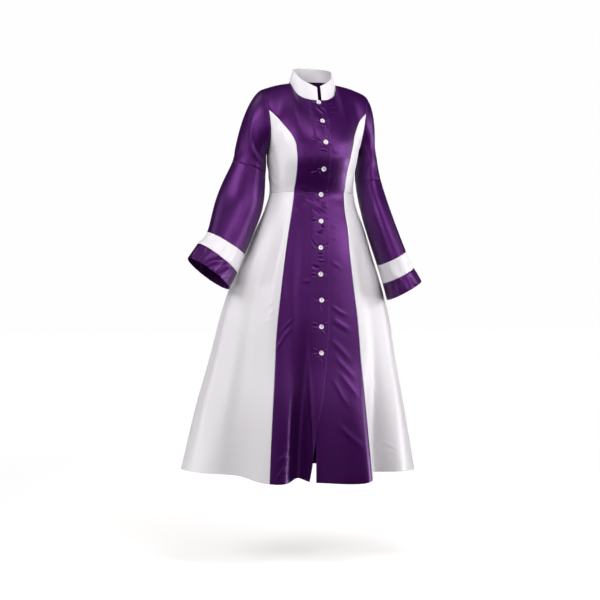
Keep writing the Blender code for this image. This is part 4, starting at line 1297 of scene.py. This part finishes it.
def stitch_row(name, line, normals):
    """Row of stitches along a line of points on the cloth, joined into one mesh."""
    deselect_all()
    bpy.ops.mesh.primitive_uv_sphere_add(segments=6, ring_count=4, radius=1)
    pill = bpy.context.object
    pill_points = np.array([vertex.co for vertex in pill.data.vertices])
    pill_faces = [tuple(face.vertices) for face in pill.data.polygons]
    bpy.data.objects.remove(pill, do_unlink=True)
    gaps = np.linalg.norm(np.diff(line, axis=0), axis=-1)
    along = np.concatenate([[0.0], np.cumsum(gaps)])
    centres = np.arange(STITCH_STEP, along[-1] - STITCH_STEP, STITCH_STEP)
    points, faces = [], []
    for centre in centres:
        middle = values_at(centre, along, line)
        ahead = unit(values_at(centre + STITCH_AHEAD, along, line) - middle)
        up = unit(values_at(centre, along, normals))
        aside = np.cross(up, ahead)
        size = np.array([STITCH_LENGTH / 2, STITCH_THICK, STITCH_THICK])
        base = len(points) * len(pill_points)
        points.append(middle + (pill_points * size[[1, 2, 0]]) @ np.stack([aside, up, ahead]))
        faces += [tuple(base + i for i in face) for face in pill_faces]
    mesh = bpy.data.meshes.new(name)
    mesh.from_pydata(np.concatenate(points).tolist(), [], faces)
    row = bpy.data.objects.new(name, mesh)
    add_to_scene(row)
    make_active(row)
    bpy.ops.object.shade_smooth()
    print(name, len(centres), "stitches")
    return row


def on_cloth(cloth, u, v):
    """Points and normals on a finished sheet under places of the body."""
    points, normals = [], []
    for place, away in zip(body_point(u, v), body_normal(u, v)):
        away = Vector(away)
        found, seat, normal = cloth.ray_cast(Vector(place) + away * SEAT_REACH, -away)[:3]
        if found:
            points.append(seat)
            normals.append(normal)
    return np.array(points), np.array(normals)


lap_v = np.linspace(LAP_STITCH_TOP, LAP_STITCH_END, LAP_PLACES)
lap_u = opening_edge(lap_v, 1)
lap_u = lap_u - LAP_STITCH_IN / metres_per_u(lap_u, lap_v)
lap_stitches = stitch_row("lap_stitches", *on_cloth(front_right, lap_u, lap_v))

# %% Buttonholes
HOLE_HALF = 0.0105
HOLE_WIDE = 0.0016
HOLE_BACK = -0.0085
HOLE_STITCHES = 40
HOLE_SQUARE = 0.6
HOLE_CORD = 0.0005


def buttonhole(u, v):
    """Ring round a level slit that ends under the button, as u and v."""
    t = np.linspace(0, 2 * math.pi, HOLE_STITCHES, endpoint=False)
    across = HOLE_BACK + HOLE_HALF * np.sign(np.cos(t)) * np.abs(np.cos(t)) ** HOLE_SQUARE
    above = HOLE_WIDE * np.sin(t)
    return u + across / metres_per_u(np.array(u), np.array(v)), v - above / metres_per_v(u, v)


hole_rings = []
for u, v in BUTTONS:
    ring_points = on_cloth(front_right, *buttonhole(u, v))[0]
    deselect_all()
    curve = bpy.data.curves.new("buttonhole", "CURVE")
    curve.dimensions = "3D"
    curve.bevel_depth = HOLE_CORD
    curve.bevel_resolution = 2
    spline = curve.splines.new("POLY")
    spline.points.add(len(ring_points) - 1)
    for point, place in zip(spline.points, ring_points):
        point.co = (*place, 1)
    spline.use_cyclic_u = True
    ring = bpy.data.objects.new("buttonhole", curve)
    add_to_scene(ring)
    make_active(ring)
    bpy.ops.object.convert(target="MESH")
    hole_rings.append(bpy.context.object)
buttonholes = join_all(hole_rings, "buttonholes")
bpy.ops.object.shade_smooth()
print("buttonholes", len(BUTTONS))

# %% [markdown]
# Satin. Its threads float over each other, so light slides along them: the sheen is broad, soft and a
# little streaked. One node group makes that surface for both cloths. It reads the UV map, which is in
# metres of cloth, and puts out a height in metres for the bump, a roughness and a shade.

# %% Satin surface group
# The weave is a faint diagonal line every 2 mm or so.
WEAVE_SCALE = 233.3333333
WEAVE_WOBBLE = 0.6
THREAD_HEIGHT = 0.000018
# Scales of the noise across and along the cloth: soft ripples, thin streaks, slow change of the shade.
RIPPLE_SCALE = (30.0, 22.0, 1.0)
RIPPLE_HEIGHT = 0.00045
STREAK_SCALE = (420.0, 22.0, 1.0)
STREAK_HEIGHT = 0.00006
SHADE_SCALE = (9.0, 6.0, 1.0)
SHADE_SOFT = 0.6
SHADE_STREAK = 0.4
ROUGH_CHANGE = 0.12


def satin_group():
    """Node group with the weave, streaks and soft ripples of satin."""
    group = bpy.data.node_groups.new("satin_surface", "ShaderNodeTree")
    number = "NodeSocketFloat"
    sockets = [
        ("Cloth Map", "INPUT", "NodeSocketVector"), ("Roughness", "INPUT", number),
        ("Ripple", "INPUT", number), ("Height", "OUTPUT", number), ("Roughness", "OUTPUT", number),
        ("Shade", "OUTPUT", number),
    ]
    for name, way, kind in sockets:
        group.interface.new_socket(name=name, in_out=way, socket_type=kind)
    nodes, links = group.nodes, group.links
    source = nodes.new("NodeGroupInput")
    result = nodes.new("NodeGroupOutput")

    def scaled(scale):
        mapping = nodes.new("ShaderNodeMapping")
        mapping.inputs["Scale"].default_value = scale
        links.new(source.outputs["Cloth Map"], mapping.inputs["Vector"])
        return mapping.outputs["Vector"]

    def noise(scale, detail):
        texture = nodes.new("ShaderNodeTexNoise")
        texture.inputs["Scale"].default_value = 1.0
        texture.inputs["Detail"].default_value = detail
        links.new(scaled(scale), texture.inputs["Vector"])
        return texture.outputs["Fac"]

    def sums(*terms):
        """Sum of values, each times its weight."""
        total = None
        for value, weight in terms:
            step = nodes.new("ShaderNodeMath")
            step.operation = "MULTIPLY_ADD"
            links.new(value, step.inputs[0])
            if isinstance(weight, float):
                step.inputs[1].default_value = weight
            else:
                links.new(weight, step.inputs[1])
            step.inputs[2].default_value = 0.0
            if total is not None:
                links.new(total, step.inputs[2])
            total = step.outputs[0]
        return total

    weave = nodes.new("ShaderNodeTexWave")
    weave.bands_direction = "DIAGONAL"
    weave.inputs["Scale"].default_value = WEAVE_SCALE
    weave.inputs["Distortion"].default_value = WEAVE_WOBBLE
    links.new(source.outputs["Cloth Map"], weave.inputs["Vector"])
    ripple = noise(RIPPLE_SCALE, 2.0)
    streak = noise(STREAK_SCALE, 3.0)
    soft = noise(SHADE_SCALE, 2.0)
    rippled = sums((ripple, source.outputs["Ripple"]))
    height = sums((rippled, RIPPLE_HEIGHT), (streak, STREAK_HEIGHT), (weave.outputs["Fac"], THREAD_HEIGHT))
    centred = nodes.new("ShaderNodeMath")
    centred.operation = "SUBTRACT"
    centred.inputs[1].default_value = 0.5
    links.new(streak, centred.inputs[0])
    rough = nodes.new("ShaderNodeMath")
    rough.operation = "MULTIPLY_ADD"
    rough.inputs[1].default_value = ROUGH_CHANGE
    links.new(centred.outputs[0], rough.inputs[0])
    links.new(source.outputs["Roughness"], rough.inputs[2])
    links.new(height, result.inputs["Height"])
    links.new(rough.outputs[0], result.inputs["Roughness"])
    links.new(sums((soft, SHADE_SOFT), (streak, SHADE_STREAK)), result.inputs["Shade"])
    return group


satin = satin_group()


# %% Materials
def satin_material(name, dark, light, roughness, ripple, shine, tint):
    """Satin with a colour between dark and light, and its shine tinted by the dyed threads."""
    made, tree, shader = new_material(name)
    nodes, links = tree.nodes, tree.links
    cloth_map = nodes.new("ShaderNodeUVMap")
    cloth_map.uv_map = "cloth"
    surface = nodes.new("ShaderNodeGroup")
    surface.node_tree = satin
    surface.inputs["Roughness"].default_value = roughness
    surface.inputs["Ripple"].default_value = ripple
    links.new(cloth_map.outputs["UV"], surface.inputs["Cloth Map"])
    links.new(colour_mix(tree, dark, light, surface.outputs["Shade"]), shader.inputs["Base Color"])
    links.new(surface.outputs["Roughness"], shader.inputs["Roughness"])
    bump = nodes.new("ShaderNodeBump")
    bump.inputs["Strength"].default_value = 1.0
    bump.inputs["Distance"].default_value = 1.0
    links.new(surface.outputs["Height"], bump.inputs["Height"])
    links.new(bump.outputs["Normal"], shader.inputs["Normal"])
    shader.inputs["Specular IOR Level"].default_value = shine
    shader.inputs["Specular Tint"].default_value = (*tint, 1)
    return made


CLOUD_SCALE = 260.0
CLOUD_DARK = 0.86
CLOUD_LIGHT = 1.12


def plain_material(name, colour, roughness, coat=0.0):
    """Finish for a small hard or twisted piece, with a faint cloud in its colour."""
    made, tree, shader = new_material(name)
    place = tree.nodes.new("ShaderNodeTexCoord")
    cloud = tree.nodes.new("ShaderNodeTexNoise")
    cloud.inputs["Scale"].default_value = CLOUD_SCALE
    tree.links.new(place.outputs["Object"], cloud.inputs["Vector"])
    dark = [CLOUD_DARK * c for c in colour]
    light = [min(1.0, CLOUD_LIGHT * c) for c in colour]
    tree.links.new(colour_mix(tree, dark, light, cloud.outputs["Fac"]), shader.inputs["Base Color"])
    shader.inputs["Roughness"].default_value = roughness
    shader.inputs["Coat Weight"].default_value = coat
    return made


purple_satin = satin_material(
    "purple_satin_cloth", dark=(0.021, 0.0015, 0.037), light=(0.027, 0.0022, 0.047), roughness=0.37,
    ripple=1.0, shine=0.70, tint=(0.72, 0.19, 1.0))
white_satin = satin_material(
    "white_satin_cloth", dark=(0.67, 0.643, 0.676), light=(0.71, 0.683, 0.716), roughness=0.42,
    ripple=0.5, shine=0.5, tint=(1.0, 1.0, 1.0))
button_pearl = plain_material("button_pearl", (0.74, 0.68, 0.75), roughness=0.22, coat=0.4)
thread_grey = plain_material("thread_grey", (0.24, 0.20, 0.25), roughness=0.7)
thread_purple = plain_material("thread_purple", (0.11, 0.035, 0.17), roughness=0.5)
print("materials", len(bpy.data.materials))

# %% [markdown]
# Last, every sheet takes its finish and rides on the body of the imported part, and the imported node
# that it stands for is hidden.

HELD_BY = {
    "front_right": "back_centre_cloth", "front_left": "back_centre_cloth", "back_centre": "front_right_cloth",
    "collar": "back_centre_cloth",
}
for place in ("front", "back"):
    for tag, front in (("r", "front_right_cloth"), ("l", "front_left_cloth")):
        HELD_BY[f"side_{place}_bodice_{tag}"] = front if place == "front" else "back_centre_cloth"
        HELD_BY[f"side_{place}_skirt_{tag}"] = f"side_{place}_bodice_{tag}_cloth"
for tag, front in (("r", "front_right_cloth"), ("l", "front_left_cloth")):
    HELD_BY[f"upper_sleeve_{tag}"] = front
    HELD_BY[f"lower_sleeve_{tag}"] = f"upper_sleeve_{tag}_cloth"
    HELD_BY[f"sleeve_band_{tag}"] = f"lower_sleeve_{tag}_cloth"
    HELD_BY[f"sleeve_cuff_{tag}"] = f"sleeve_band_{tag}_cloth"
WHITE_PARTS = ("side_", "sleeve_band", "collar")


def dress(piece, material):
    piece.data.materials.clear()
    piece.data.materials.append(material)
    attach(piece, "root")


for node, holder in HELD_BY.items():
    sheet, cut_width, cut_length, cut_area = made_sheets[node + "_cloth"]
    white = node.startswith(WHITE_PARTS)
    dress(sheet, white_satin if white else purple_satin)
    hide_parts(node)
    cut_area = min(cut_area, cut_width * cut_length)
for number, piece in enumerate(button_pieces, 1):
    dress(piece, button_pearl)
    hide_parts(f"button_{number:02d}")
dress(button_thread, thread_grey)
dress(lap_stitches, thread_purple)
dress(buttonholes, thread_purple)
